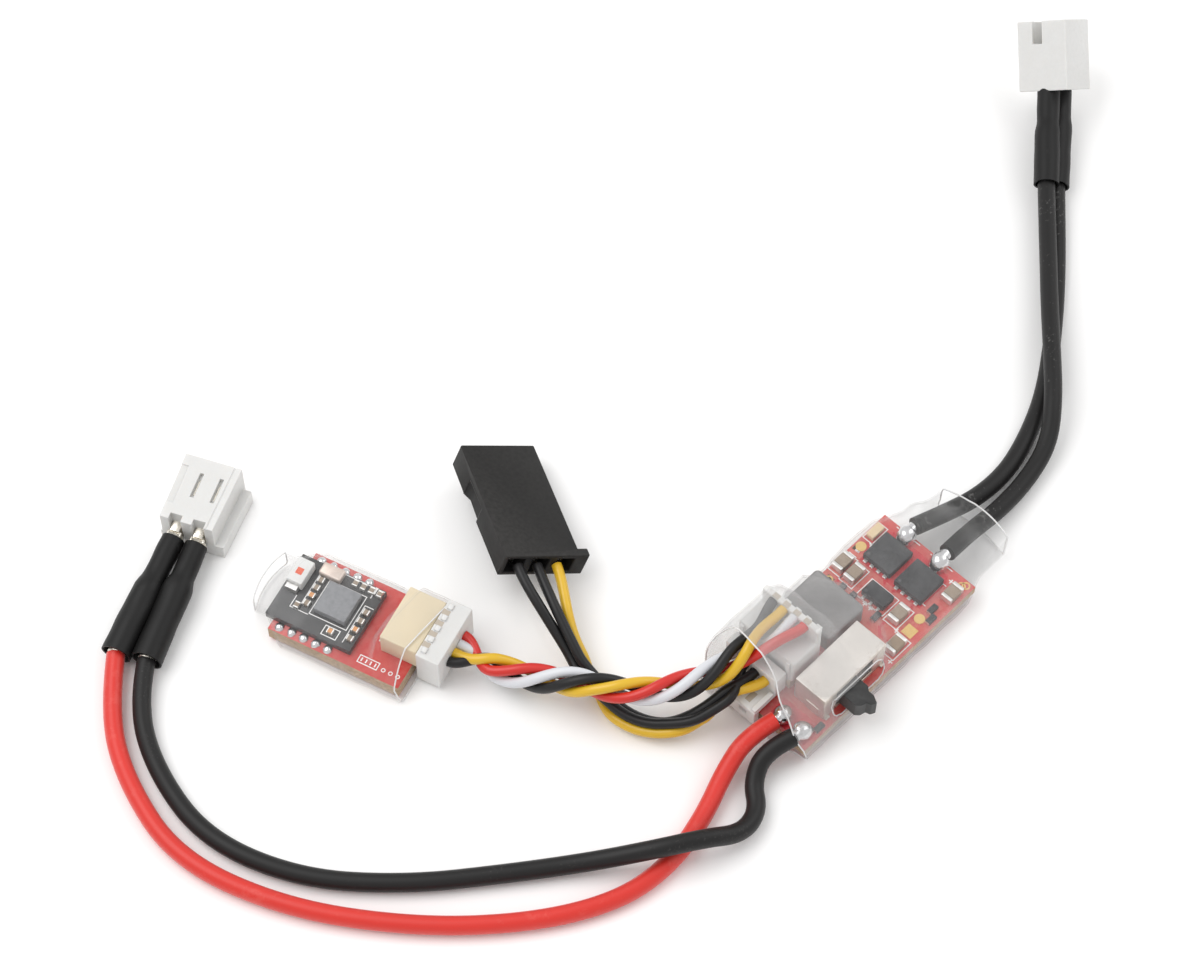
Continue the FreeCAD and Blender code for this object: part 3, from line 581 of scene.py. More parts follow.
def hullOf(points):  # convex outline of flat points
    points = sorted(set(points))
    halves = []
    for run in (points, points[::-1]):
        half = []
        for point in run:
            while len(half) > 1 and ((half[-1][0] - half[-2][0]) * (point[1] - half[-2][1])
                                     - (half[-1][1] - half[-2][1]) * (point[0] - half[-2][0])) <= 0:
                half.pop()
            half.append(point)
        halves.append(half[:-1])
    return halves[0] + halves[1]


def reachOf(outline, centre, angle):  # how far a ray from the centre goes before it leaves the outline
    ray = (math.cos(angle), math.sin(angle))
    best = 0.0
    for number, start in enumerate(outline):
        end = outline[(number + 1) % len(outline)]
        edge = (end[0] - start[0], end[1] - start[1])
        cross = ray[0] * edge[1] - ray[1] * edge[0]
        if abs(cross) < 1e-9:
            continue
        toStart = (start[0] - centre[0], start[1] - centre[1])
        along = (toStart[0] * edge[1] - toStart[1] * edge[0]) / cross
        share = (toStart[0] * ray[1] - toStart[1] * ray[0]) / cross
        if along > 0 and -1e-6 <= share <= 1 + 1e-6:
            best = max(best, along)
    return best


def drape(contents, centre, start, end, steps, around, slack, spread):
    # contents are boxes: x low, x high, y low, y high, z low, z high
    dots = [(slack * math.cos(turn), slack * math.sin(turn)) for turn in
            (2 * math.pi * number / 10 for number in range(10))]
    stations = [start + (end - start) * number / (steps - 1) for number in range(steps)]
    table = []
    for x in stations:
        points = []
        for low, high, left, right, bottom, top in contents:
            if low - 0.2 <= x <= high + 0.2:
                points += [(y + dot[0], z + dot[1]) for y in (left, right) for z in (bottom, top) for dot in dots]
        outline = hullOf(points)
        table.append([reachOf(outline, centre, 2 * math.pi * number / around) for number in range(around)])
    soft = []
    for number in range(steps):
        row = []
        for ray in range(around):
            nearby = range(max(0, number - spread), min(steps, number + spread + 1))
            row.append(sum(table[index][ray] for index in nearby) / len(nearby))
        soft.append([max(row[ray], min(table[number][ray], row[ray] + 0.12)) for ray in range(around)])
    return stations, soft


def sleeveMesh(name, stations, rows, centre, ends, wrinkle, turn=None, thick=0.16):
    # ends give each side's own slant, as functions of y and z
    around = len(rows[0])
    rings = []
    for number, (x, row) in enumerate(zip(stations, rows)):
        ring = []
        share = number / (len(stations) - 1)
        for ray in range(around):
            angle = 2 * math.pi * ray / around
            ripple = noise.noise(Vector((x * 0.55, math.cos(angle) * 1.7, math.sin(angle) * 1.7))) * wrinkle
            reach = row[ray] + ripple * (1 if math.sin(angle) > -0.3 else 0)
            y, z = centre[0] + reach * math.cos(angle), centre[1] + reach * math.sin(angle)
            z = max(z, 0.13)
            nearX = ends[0](y, z) + (x - stations[0]) * (1 - (ends[0](y, z) - stations[0]) / (stations[-1] - stations[0]))
            farShift = (ends[1](y, z) - stations[-1]) * share
            ring.append(Vector((nearX + farShift, y, z)))
        rings.append(ring)
    verts, faces = [], []
    for ring in rings:
        verts += [turn @ point if turn else point for point in ring]
    for number in range(len(rings) - 1):
        for ray in range(around):
            other = (ray + 1) % around
            faces.append([number * around + ray, (number + 1) * around + ray,
                          (number + 1) * around + other, number * around + other])
    item = newObject(name, verts, faces)
    shell = item.modifiers.new("thickness", "SOLIDIFY")
    shell.thickness = thick * mm
    shell.offset = -1
    item.data.shade_smooth()
    return item, rings


def rimTube(name, line, radius, finish, closed=True):
    line = list(line)
    if closed:
        line += [line[0], line[1]]
    verts, faces = [], []
    tube(verts, faces, line, radius, 8)
    item = newObject(name, verts, faces)
    smoothOver(item, 60)
    return dress(item, finish)


def filmFinish(name, haze, edgeHaze, fogged, fogStart, fogEnd, tint=(0.70, 0.695, 0.69)):
    # clear milky film: thicker looking where it is seen on edge and where it stands off its contents
    material, tree, shader = makeFinish(name, tint, rough=0.24, drift=0.02, patch=500, tooth=1500, bump=0.25, reach=0.05,
                                        specular=0.6)
    place = tree.nodes.new("ShaderNodeTexCoord").outputs["Object"]
    cloud = addNode(tree, "ShaderNodeTexNoise", Vector=place, Scale=330.0, Detail=3.0).outputs[0]
    facing = addNode(tree, "ShaderNodeLayerWeight", Blend=0.32).outputs["Facing"]
    grazing = mathNode(tree, "MULTIPLY", mathNode(tree, "POWER", facing, 2.2), edgeHaze)
    split = addNode(tree, "ShaderNodeSeparateXYZ", Vector=place)
    along = tree.nodes.new("ShaderNodeMapRange")
    along.interpolation_type = "SMOOTHSTEP"
    tree.links.new(split.outputs["X"], along.inputs["Value"])
    along.inputs["From Min"].default_value = fogStart * mm
    along.inputs["From Max"].default_value = fogEnd * mm
    along.inputs["To Min"].default_value = fogged
    along.inputs["To Max"].default_value = 0.0
    uneven = mathNode(tree, "MULTIPLY", mathNode(tree, "SUBTRACT", cloud, 0.45), 0.10)
    total = mathNode(tree, "ADD", mathNode(tree, "ADD", grazing, haze), mathNode(tree, "ADD", uneven,
                     along.outputs["Result"]))
    tree.links.new(mathNode(tree, "MINIMUM", mathNode(tree, "MAXIMUM", total, 0.015), 0.9), shader.inputs["Alpha"])
    return material


filmFinish("mainFilm", 0.045, 0.42, 0.10, -6.5, -2.0)
filmFinish("moduleFilm", 0.022, 0.46, 0.0, -26.0, -24.0)
makeFinish("filmEdge", (0.74, 0.735, 0.73), rough=0.3, drift=0.02, patch=500, bump=0.1, scatter=0.3)

mainSleeve = {"start": -12.2, "end": 18.0, "steps": 96, "around": 96, "slack": 0.28, "spread": 4, "wrinkle": 0.12}
mainContents = [
    (-12.6, 12.4, -5.35, 5.35, 0.32, 2.3),  # board
    (-12.6, -4.3, -0.4, 6.2, 0.8, 7.1),  # plugs
    (-5.2, -4.5, -0.6, 6.1, 2.3, 9.1),  # raised rib
    (-12.6, -4.6, 1.4, 4.6, 6.5, 9.9),  # cable under the film
    (-3.0, 2.2, -0.5, 5.4, 2.3, 4.9),  # coil
    (-8.3, 0.0, -4.7, -1.1, 2.3, 5.75),  # switch
    (4.0, 11.6, -5.2, 5.3, 2.3, 3.3),  # small parts
    (7.0, 15.0, -3.0, 3.6, 2.3, 4.1),
    (12.0, 19.4, -4.3, 3.0, 0.5, 2.9),  # motor wires
]
mouthPoints = [(6.2, 5.0, -12.0), (4.3, 8.0, -9.9), (1.3, 7.5, -10.4), (-1.3, 4.5, -11.5), (-3.5, 1.5, -12.4),
               (-5.2, 0.0, -11.4), (0.0, 0.0, -12.3), (5.5, 0.0, -12.6)]


def mainMouth(y, z):  # the film's cut edge wanders between these places
    total = weight = 0.0
    for atY, atZ, x in mouthPoints:
        near = 1 / ((y - atY) ** 2 + (z - atZ) ** 2 + 0.6) ** 1.6
        total += near * x
        weight += near
    return total / weight


stations, rows = drape(mainContents, (0.3, 2.0), mainSleeve["start"], mainSleeve["end"], mainSleeve["steps"],
                       mainSleeve["around"], mainSleeve["slack"], mainSleeve["spread"])
escSleeve, escRings = sleeveMesh("escSleeve", stations, rows, (0.3, 2.0),
                                 (mainMouth, lambda y, z: 18.0 - 0.045 * (y + 1) * (y + 1) - 0.10 * (3.2 - z)),
                                 mainSleeve["wrinkle"])
dress(escSleeve, "mainFilm", main, ["esc_sleeve"])


def surfaceAt(rings, x, z):  # the film's y on the switch side, at a height
    ring = min(rings, key=lambda one: abs(sum(point.x for point in one) / len(one) - x))
    side = [point for point in ring if point.y < 0]
    return min(side, key=lambda point: abs(point.z - z)).y


windowLook = {"left": -7.7, "right": -0.9, "low": 2.45, "high": 5.2, "corner": 1.2}
cutter = bpy.data.meshes.new("windowCutter")
windowOutline = []
for cornerX, cornerZ, first in ((windowLook["right"], windowLook["high"], 0), (windowLook["left"], windowLook["high"], 90),
                                (windowLook["left"], windowLook["low"], 180), (windowLook["right"], windowLook["low"], 270)):
    insideX = cornerX - windowLook["corner"] * (1 if first in (0, 270) else -1)
    insideZ = cornerZ - windowLook["corner"] * (1 if first in (0, 90) else -1)
    for step in range(7):
        angle = math.radians(first + step * 15)
        windowOutline.append((insideX + windowLook["corner"] * math.cos(angle),
                              insideZ + windowLook["corner"] * math.sin(angle)))
verts, faces = [], []
stand = Matrix.Rotation(math.radians(90), 4, "X")
slab(verts, faces, windowOutline, 4.9, 7.5, stand)
cutter.from_pydata([Vector(v) * mm for v in verts], [], faces)
cutterItem = bpy.data.objects.new("windowCutter", cutter)
bpy.context.scene.collection.objects.link(cutterItem)
opening = escSleeve.modifiers.new("leverWindow", "BOOLEAN")
opening.operation = "DIFFERENCE"
opening.solver = "EXACT"
opening.object = cutterItem
bpy.context.view_layer.update()
openedMesh = bpy.data.meshes.new_from_object(escSleeve.evaluated_get(bpy.context.evaluated_depsgraph_get()))
escSleeve.modifiers.clear()
escSleeve.data = openedMesh
smoothOver(escSleeve, 50)
bpy.data.objects.remove(cutterItem)

rimTube("escSleeveMouthRim", escRings[0], 0.075, "filmEdge")
rimTube("escSleeveTailRim", escRings[-1], 0.08, "filmEdge")
rimTube("leverWindowRim", [Vector((x, surfaceAt(escRings, x, z) + 0.05, z)) for x, z in windowOutline], 0.06, "filmEdge")

moduleSleeveLook = {"start": -9.8, "end": 7.0, "steps": 70, "around": 96, "slack": 0.2, "spread": 3, "wrinkle": 0.07}
moduleContents = [
    (-7.4, 7.4, -4.65, 4.65, 0.25, 1.95),
    (-7.6, 1.35, -3.6, 3.6, 1.9, 3.1),
    (-7.4, -5.7, 0.0, 2.6, 2.7, 4.0),
    (-4.0, -0.3, -1.5, 1.9, 2.7, 3.6),
    (3.4, 7.4, -1.8, 4.2, 1.9, 4.65),
    (-10.0, -7.5, -2.6, 2.8, 0.6, 2.3),
]
moduleStations, moduleRows = drape(moduleContents, (0.0, 1.6), moduleSleeveLook["start"], moduleSleeveLook["end"],
                                   moduleSleeveLook["steps"], moduleSleeveLook["around"], moduleSleeveLook["slack"],
                                   moduleSleeveLook["spread"])
moduleSleeve, moduleRings = sleeveMesh(
    "moduleSleeve", moduleStations, moduleRows, (0.0, 1.6),
    (lambda y, z: -9.8 + 0.11 * y * y * 0.6, lambda y, z: 7.35 - 0.35 * z + (y + 4.9) * 0.045 * z), moduleSleeveLook["wrinkle"], moduleTurn)
bpy.context.view_layer.update()
solidSleeve = bpy.data.meshes.new_from_object(moduleSleeve.evaluated_get(bpy.context.evaluated_depsgraph_get()))
moduleSleeve.modifiers.clear()
moduleSleeve.data = solidSleeve
smoothOver(moduleSleeve, 50)
dress(moduleSleeve, "moduleFilm", main, ["module_sleeve"])
rimTube("moduleSleeveMouthRim", [moduleTurn @ point for point in moduleRings[-1]], 0.07, "filmEdge")
rimTube("moduleSleeveTailRim", [moduleTurn @ point for point in moduleRings[0]], 0.07, "filmEdge")
print("sleeves ready")

# main board and what is soldered to it

boardTop = 2.2
boardLook = {"mask": (0.56, 0.004, 0.016), "edge": (0.42, 0.30, 0.20), "line": (0.86, 0.85, 0.84)}
makeFinish("redMask", boardLook["mask"], rough=0.3, drift=0.10, patch=700, tooth=5000, bump=0.10, reach=0.01,
           coat=0.35, coatRough=0.15, edge=0.25, edgeColour=(0.75, 0.55, 0.4))
makeFinish("boardEdge", boardLook["edge"], rough=0.75, drift=0.55, patch=2600, tooth=7000, bump=0.5, reach=0.03)
makeFinish("legendPaint", boardLook["line"], rough=0.6, drift=0.06, patch=2500, bump=0.2)
makeFinish("maskOverCopper", (0.58, 0.018, 0.030), rough=0.28, drift=0.08, patch=900, bump=0.08, coat=0.35)
makeFinish("solderMetal", (0.72, 0.72, 0.73), rough=0.22, metal=1.0, drift=0.07, patch=900, tooth=4000, bump=0.25,
           reach=0.03, scuff=0.25, scuffColour=(0.4, 0.4, 0.42), scuffScale=2200)
makeFinish("tinnedMetal", (0.78, 0.77, 0.75), rough=0.33, metal=0.85, drift=0.10, patch=1800, tooth=6000, bump=0.25,
           reach=0.02)
makeFinish("goldPad", (0.86, 0.60, 0.24), rough=0.3, metal=0.9, drift=0.08, patch=1500, tooth=6000, bump=0.1)
makeFinish("chipPlastic", (0.020, 0.0205, 0.022), rough=0.62, drift=0.18, patch=900, tooth=9000, bump=0.3, reach=0.012,
           edge=0.35, edgeColour=(0.16, 0.16, 0.17), specular=0.35)
makeFinish("coilFerrite", (0.20, 0.195, 0.195), rough=0.7, drift=0.10, patch=450, tooth=7000, bump=0.3, reach=0.02,
           edge=0.4, edgeColour=(0.42, 0.41, 0.40))
makeFinish("capCeramic", (0.27, 0.205, 0.15), rough=0.5, drift=0.10, patch=1500, tooth=6000, bump=0.15,
           edge=0.3, edgeColour=(0.5, 0.42, 0.34))
makeFinish("ledLens", (0.72, 0.56, 0.34), rough=0.25, drift=0.05, patch=2000, bump=0.05, coat=0.5, scatter=0.3)
makeFinish("contactMetal", (0.80, 0.76, 0.68), rough=0.28, metal=1.0, drift=0.06, patch=1500, bump=0.1)
makeFinish("creamNylon", (0.68, 0.585, 0.42), rough=0.42, drift=0.04, patch=400, tooth=5000, bump=0.12, scatter=0.25)
makeFinish("whiteNylon", (0.65, 0.645, 0.63), rough=0.40, drift=0.03, patch=400, tooth=5000, bump=0.12, scatter=0.3,
           edge=0.3, edgeColour=(0.86, 0.86, 0.86))

fromNode("esc_board", ["redMask", "boardEdge"], 0.04)
fromNode("power_transistors", "chipPlastic", 0.07)
fromNode("gate_driver_chip", "chipPlastic", 0.06)
fromNode("controller_chip", "chipPlastic", 0.06)
fromNode("voltage_regulator", "chipPlastic", 0.06)
fromNode("power_inductor", "coilFerrite", 0.18, 3)
fromNode("capacitor_bodies", "capCeramic", 0.05)
fromNode("capacitor_ends", "tinnedMetal", 0.10, 3)
fromNode("small_resistors", ["chipPlastic", "tinnedMetal"], 0.04)
fromNode("status_led", "ledLens", 0.07)
for name in ("escBoard", "smallResistors"):  # side walls and end faces take the second finish
    item = bpy.data.objects[name]
    for polygon in item.data.polygons:
        if name == "escBoard" and abs(polygon.normal.z) < 0.5:
            polygon.material_index = 1
        if name == "smallResistors" and abs(polygon.normal.x) > 0.5:
            polygon.material_index = 1


def inlay(name, finish, build, body=main):
    verts, faces = [], []
    build(verts, faces)
    item = newObject(name, verts, faces)
    return dress(item, finish, body)


def boxLine(x, y, length, width):  # a rectangle's closed line round a part
    x0, x1, y0, y1 = x - length / 2, x + length / 2, y - width / 2, y + width / 2
    return [(x0, y0), (x1, y0), (x1, y1), (x0, y1), (x0, y0)]


def legendLines(verts, faces):
    lines = [boxLine(5.0, 4.85, 2.5, 1.55), boxLine(4.85, 3.3, 2.5, 1.55), boxLine(4.6, 0.2, 2.3, 3.3),
             boxLine(9.6, 4.9, 2.2, 1.15), boxLine(4.5, -2.5, 2.5, 1.6), boxLine(1.9, -4.4, 2.5, 1.6),
             [(7.0, -3.6), (7.0, -3.2), (9.9, -3.2), (9.9, -3.6)], [(6.4, 4.4), (6.4, 5.3)],
             [(11.5, -3.0), (11.5, -0.3)], [(11.5, 1.0), (11.5, 3.9)]]
    for line in lines:
        stroke(verts, faces, line, 0.10, boardTop, boardTop + 0.02)
    for x, y in ((3.3, -0.1), (3.3, 0.6), (8.4, 4.3), (10.6, -3.6), (0.4, -5.1), (3.2, -3.4)):
        stroke(verts, faces, [(x - 0.25, y), (x + 0.25, y)], 0.12, boardTop, boardTop + 0.02)
        stroke(verts, faces, [(x, y - 0.25), (x, y + 0.25)], 0.12, boardTop + 0.001, boardTop + 0.021)


def copperRuns(verts, faces):
    runs = [[(6.1, 0.6), (6.6, 1.1), (6.6, 2.0)], [(6.0, -0.3), (6.5, -0.8), (6.5, -1.4)],
            [(3.6, 4.0), (3.0, 4.0), (2.7, 3.7)], [(3.3, -2.0), (2.4, -2.0), (1.8, -2.6), (1.8, -3.6)],
            [(5.6, -3.5), (5.6, -3.0), (6.3, -2.6)], [(0.2, -3.6), (0.2, -4.6), (-0.2, -5.0)],
            [(7.6, 4.4), (7.6, 4.2), (8.6, 4.2), (9.0, 4.4)]]
    for run in runs:
        stroke(verts, faces, run, 0.28, boardTop, boardTop + 0.015)
    for outline in ([(6.4, 4.1), (10.5, 4.1), (10.9, 3.7), (10.9, -3.0), (10.2, -3.4), (6.4, -3.4)],
                    [(-11.4, -0.7), (-9.2, -0.7), (-9.0, -1.0), (-9.0, -5.2), (-11.4, -5.2)],
                    [(-3.2, 0.0), (2.4, 0.0), (2.4, 5.3), (-3.2, 5.3)]):
        slab(verts, faces, outline, boardTop, boardTop + 0.012)


def padPlates(verts, faces):  # tinned feet beside the transistors, driver and coil
    for x, y in ((8.45, 2.35), (8.3, -1.6)):
        for step in (-1.5, -0.5, 0.5, 1.5):
            boxForm(verts, faces, (x - 1.95, y + step * 0.8 - 0.2, boardTop), (x - 1.6, y + step * 0.8 + 0.2, 2.38))
            boxForm(verts, faces, (x + 1.6, y + step * 0.8 - 0.2, boardTop), (x + 1.9, y + step * 0.8 + 0.2, 2.34))
    for step in (-1, 0, 1):
        for x in (3.62, 5.38):
            boxForm(verts, faces, (x - 0.22, 0.2 + step * 0.9 - 0.15, boardTop), (x + 0.22, 0.2 + step * 0.9 + 0.15, 2.42))
    for x in (-2.85, 2.05):
        boxForm(verts, faces, (x - 0.28, 1.2, boardTop), (x + 0.28, 3.9, 2.45))


def goldPads(verts, faces):  # two round pads and a square one
    for x, y in ((7.6, 4.9), (5.6, -4.1)):
        slab(verts, faces, [(x + 0.52 * math.cos(turn), y + 0.52 * math.sin(turn)) for turn in
                            (math.pi * number / 14 for number in range(28))], boardTop, boardTop + 0.05)
    boxForm(verts, faces, (3.42, -4.88, boardTop), (4.58, -3.72, boardTop + 0.05))


def rivets(verts, faces):  # gold rings of the plated holes
    for x, y in ((2.9, 4.7), (10.9, -4.6), (11.2, -4.9)):
        outline = [(x + 0.34 * math.cos(turn), y + 0.34 * math.sin(turn)) for turn in
                   (math.pi * number / 8 for number in range(17))]
        outline[-1] = outline[0]
        stroke(verts, faces, outline, 0.14, boardTop, boardTop + 0.04)


inlay("boardLegend", "legendPaint", legendLines)
inlay("boardCopperRuns", "maskOverCopper", copperRuns)
rounded(inlay("boardTinnedFeet", "tinnedMetal", padPlates), 0.05)
inlay("boardPlatedHoles", "goldPad", rivets)
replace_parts(inlay("testPads", "goldPad", goldPads), "test_pads")


def chipMarks(verts, faces):  # faint moulded dots at the chips' first pins
    for x, y, z in ((7.15, 3.6, 3.05), (7.0, -0.35, 3.05), (4.1, 1.2, 3.0)):
        outline = [(x + 0.17 * math.cos(turn), y + 0.17 * math.sin(turn)) for turn in
                   (2 * math.pi * number / 12 for number in range(12))]
        slab(verts, faces, outline, z, z + 0.006)


makeFinish("moulding", (0.075, 0.076, 0.08), rough=0.5, drift=0.1, patch=900, bump=0.1)
inlay("chipMarks", "moulding", chipMarks)

jointLook = {"radius": 1.02, "height": 1.3, "tailRadius": 0.62, "around": 26, "lumps": 0.05}


def solderBlobs(name, node, joints, reach):
    verts, faces = [], []
    profile = ((0.86, 0.0), (0.97, 0.2), (1.0, 0.5), (0.95, 0.82), (0.8, 1.12), (0.58, 1.34), (0.3, 1.47))
    for x, y in joints:
        base = len(verts)
        for ring, (wide, high) in enumerate(profile):
            for step in range(jointLook["around"]):
                angle = 2 * math.pi * step / jointLook["around"]
                point = Vector((x + math.cos(angle) * wide * jointLook["radius"],
                                y + math.sin(angle) * wide * jointLook["radius"] * 0.94, boardTop + high))
                lump = noise.noise(point * 1.3) * jointLook["lumps"] * (0.4 + high)
                lean = math.copysign(0.16, reach) * high
                verts.append(point + Vector((math.cos(angle) * lump + lean, math.sin(angle) * lump, 0)))
        count = jointLook["around"]
        for ring in range(len(profile) - 1):
            for step in range(count):
                other = (step + 1) % count
                faces.append([base + ring * count + step, base + ring * count + other,
                              base + (ring + 1) * count + other, base + (ring + 1) * count + step])
        faces.append([base + (len(profile) - 1) * count + step for step in range(count)])
        faces.append([base + step for step in reversed(range(count))])
        line = [Vector((x + reach * share, y, 3.02 + 0.06 * share)) for share in (0.0, 0.2, 0.4, 0.6, 0.8, 1.0, 1.1)]
        tube(verts, faces, line, lambda share: jointLook["tailRadius"] * (1 - 0.12 * share), 18, wobble=0.22)
    item = newObject(name, verts, faces)
    finer = item.modifiers.new("finer", "SUBSURF")
    finer.levels = 1
    finer.render_levels = 1
    smoothOver(item, 70)
    return dress(item, "solderMetal", main, [node])


solderBlobs("motorSolderJoints", "motor_solder_joints", ((11.05, 2.45), (11.05, -1.6)), 1.2)
solderBlobs("batterySolderJoints", "battery_solder_joints", ((-10.5, -1.9), (-10.5, -4.25)), -1.15)
print("main board ready")

# slide switch

switchLook = {"tin": (0.54, 0.465, 0.40), "lever": (0.013, 0.013, 0.013)}
makeFinish("switchTin", switchLook["tin"], rough=0.36, metal=0.75, drift=0.2, patch=260, tooth=4500, bump=0.18, reach=0.02,
           edge=0.6, edgeColour=(0.95, 0.93, 0.9), scuff=0.2, scuffColour=(0.85, 0.82, 0.78), scuffScale=1800)
makeFinish("blackNylon", switchLook["lever"], rough=0.55, drift=0.15, patch=400, tooth=6000, bump=0.25, reach=0.012,
           edge=0.25, edgeColour=(0.12, 0.12, 0.12), sheen=0.1)
makeFinish("redInsulator", (0.50, 0.020, 0.018), rough=0.5, drift=0.12, patch=700, tooth=5000, bump=0.2)
fromNode("switch_can", "switchTin", 0.10, 3)
fromNode("switch_base", "redInsulator", 0.05)
fromNode("switch_contacts", "contactMetal", 0.03)
fromNode("switch_wiper", "contactMetal", 0.05)


def switchSeams(verts, faces):  # folded tabs and bent feet of the tin can
    for x in (-8.32, -0.02):
        boxForm(verts, faces, (x - 0.06, -4.1, boardTop + 0.02), (x + 0.1, -2.6, 3.5))
    for x in (-7.9, -0.4):
        boxForm(verts, faces, (x - 0.28, -4.95, boardTop + 0.01), (x + 0.28, -4.6, boardTop + 0.18))
    boxForm(verts, faces, (-8.0, -4.76, 5.32), (-0.3, -4.66, 5.5))


rounded(inlay("switchTabs", "switchTin", switchSeams), 0.04)

leverLook = {"middle": -5.15, "width": 2.3, "height": 2.0, "zMiddle": 3.9, "back": -4.45, "tip": -7.85}


def leverForm(verts, faces):
    x, z = leverLook["middle"], leverLook["zMiddle"]
    half, tall = leverLook["width"] / 2, leverLook["height"] / 2
    boxForm(verts, faces, (x - 1.8, -4.4, z - 1.2), (x + 1.8, -3.1, z + 1.2))
    outline = [(x - half, leverLook["back"]), (x + half, leverLook["back"]), (x + half, -6.1), (x + half - 0.35, -6.5),
               (x + half - 0.35, -7.1), (x + half - 0.75, leverLook["tip"]), (x - 0.1, leverLook["tip"] + 0.25),
               (x - 0.25, -7.15), (x - half + 0.35, -7.0), (x - half, -6.6)]
    slab(verts, faces, outline[::-1], z - tall, z + tall)


rounded(inlay("switchLever", "blackNylon", leverForm, slider), 0.09, 3)
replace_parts(bpy.data.objects["switchLever"], "switch_lever")
print("switch ready")

# plugs and headers on the main board

fromNode("board_header_four_pin", "creamNylon", 0.08)
fromNode("board_header_three_pin", "creamNylon", 0.05)
fromNode("board_header_four_pins", "contactMetal", 0.04)
fromNode("board_header_three_pins", "contactMetal", 0.04)
fromNode("module_cable_board_plug", "whiteNylon", 0.22, 3)
fromNode("servo_lead_board_plug", "whiteNylon", 0.12, 3)
# a darker colour for painted shade in plug recesses, openings and gaps
makeFinish("plugShade", (0.46, 0.40, 0.33), rough=0.7, drift=0.1, patch=900, bump=0.2)


def fourPinSlotShade(verts, faces):  # painted shade of the recesses where the contacts latch, flat patches on the rib's top
    for step in (-1.5, -0.5, 0.5, 1.5):
        y = 2.75 + step * 1.25
        boxForm(verts, faces, (-5.02, y - 0.34, 9.06), (-4.52, y + 0.34, 9.115))


# painted shade of the contact openings on the end face and of the recesses on top
def threePinShadePatches(verts, faces):
    for step in (-1, 0, 1):
        y = 2.9 + step * 1.625
        boxForm(verts, faces, (-12.26, y - 0.42, 1.93), (-12.24, y + 0.42, 2.57))
        boxForm(verts, faces, (-12.0, y - 0.3, 3.185), (-10.9, y + 0.3, 3.212))


def plugRibs(verts, faces):  # raised keys on the plugs' faces
    for y in (-0.05, 2.75, 5.55):
        boxForm(verts, faces, (-8.32, y - 0.22, 3.9), (-8.05, y + 0.22, 6.9))
    for y in (0.1, 5.7):
        boxForm(verts, faces, (-12.5, y - 0.25, 3.15), (-10.0, y + 0.25, 3.5))
    for step in (-1, 0, 1, 2):
        y = 0.85 + step * 1.25
        boxForm(verts, faces, (-4.55, y - 0.12, 8.2), (-4.28, y + 0.5, 9.1))


inlay("fourPinRecesses", "plugShade", fourPinSlotShade)
inlay("threePinRecesses", "plugShade", threePinShadePatches)
rounded(inlay("plugKeys", "whiteNylon", plugRibs), 0.06)
print("board plugs ready")

# radio module

moduleTop = 1.9
radioTop = 2.7
moduleLook = {"board": (0.030, 0.031, 0.034), "chip": (0.17, 0.175, 0.185), "joint": 0.5}
makeFinish("blackMask", moduleLook["board"], rough=0.4, drift=0.12, patch=800, tooth=7000, bump=0.12, reach=0.008,
           coat=0.2, edge=0.25, edgeColour=(0.2, 0.19, 0.18))
makeFinish("greyChip", moduleLook["chip"], rough=0.5, drift=0.10, patch=1400, tooth=8000, bump=0.2, reach=0.008,
           edge=0.4, edgeColour=(0.5, 0.5, 0.52))
makeFinish("antennaCeramic", (0.70, 0.70, 0.69), rough=0.35, drift=0.03, patch=700, bump=0.08, scatter=0.2)
makeFinish("antennaMark", (0.70, 0.13, 0.07), rough=0.5, drift=0.12, patch=3000, bump=0.1)
makeFinish("crystalCan", (0.62, 0.50, 0.43), rough=0.35, metal=0.4, drift=0.06, patch=900, bump=0.12,
           edge=0.5, edgeColour=(0.9, 0.85, 0.8))
makeFinish("copperPart", (0.62, 0.30, 0.13), rough=0.4, metal=0.5, drift=0.12, patch=1500, bump=0.15)

fromNode("module_board", ["redMask", "boardEdge"], 0.05)
for polygon in bpy.data.objects["moduleBoard"].data.polygons:
    polygon.material_index = 1 if abs(polygon.normal.z) < 0.5 else 0
fromNode("radio_board", "blackMask", 0.06)
fromNode("radio_chip", "greyChip", 0.08)
fromNode("chip_antenna", "antennaCeramic", 0.10, 3)
fromNode("crystal", "crystalCan", 0.22, 3)
fromNode("module_header", "creamNylon", 0.12, 3)
fromNode("module_header_pins", "contactMetal", 0.03)
fromNode("module_cable_plug", "whiteNylon", 0.20, 3)
fromNode("radio_small_parts", ["capCeramic", "tinnedMetal"], 0.04)
for number, polygon in enumerate(bpy.data.objects["radioSmallParts"].data.polygons):
    local = moduleTurn.to_3x3().inverted() @ polygon.normal
    polygon.material_index = 1 if abs(local.x) > 0.5 else 0


def smallTerminals(verts, faces):  # tinned ends of the radio board's small parts
    places = [(-1.6 + 0.85 * step, 2.85, 0) for step in range(4)]
    places += [(-4.6, y, 1) for y in (-1.0, -0.1, 0.8, 1.7)] + [(0.75, y, 1) for y in (-2.4, -1.4, -0.4, 0.6)]
    places += [(-5.3, -1.6, 0), (-1.2, -2.6, 1)]
    for x, y, lying in places:
        for side in (-1, 1):
            dx, dy = (0, side * 0.26) if not lying else (side * 0.25, 0)
            wide, deep = (0.28, 0.08) if not lying else (0.08, 0.30)
            boxForm(verts, faces, (x + dx - wide, y + dy - deep, radioTop), (x + dx + wide, y + dy + deep, 3.13), moduleTurn)
    for x, y in ((0.4, 3.0), (0.75, 2.9)):  # an inductor's two feet
        boxForm(verts, faces, (x - 0.14, y - 0.38, radioTop), (x + 0.14, y + 0.38, 2.95), moduleTurn)
    boxForm(verts, faces, (-7.35, 0.0, radioTop), (-6.95, 2.6, 3.55), moduleTurn)
    boxForm(verts, faces, (-7.2, -0.55, radioTop), (-6.0, 0.0, 3.35), moduleTurn)


rounded(inlay("radioTinnedEnds", "tinnedMetal", smallTerminals), 0.05)


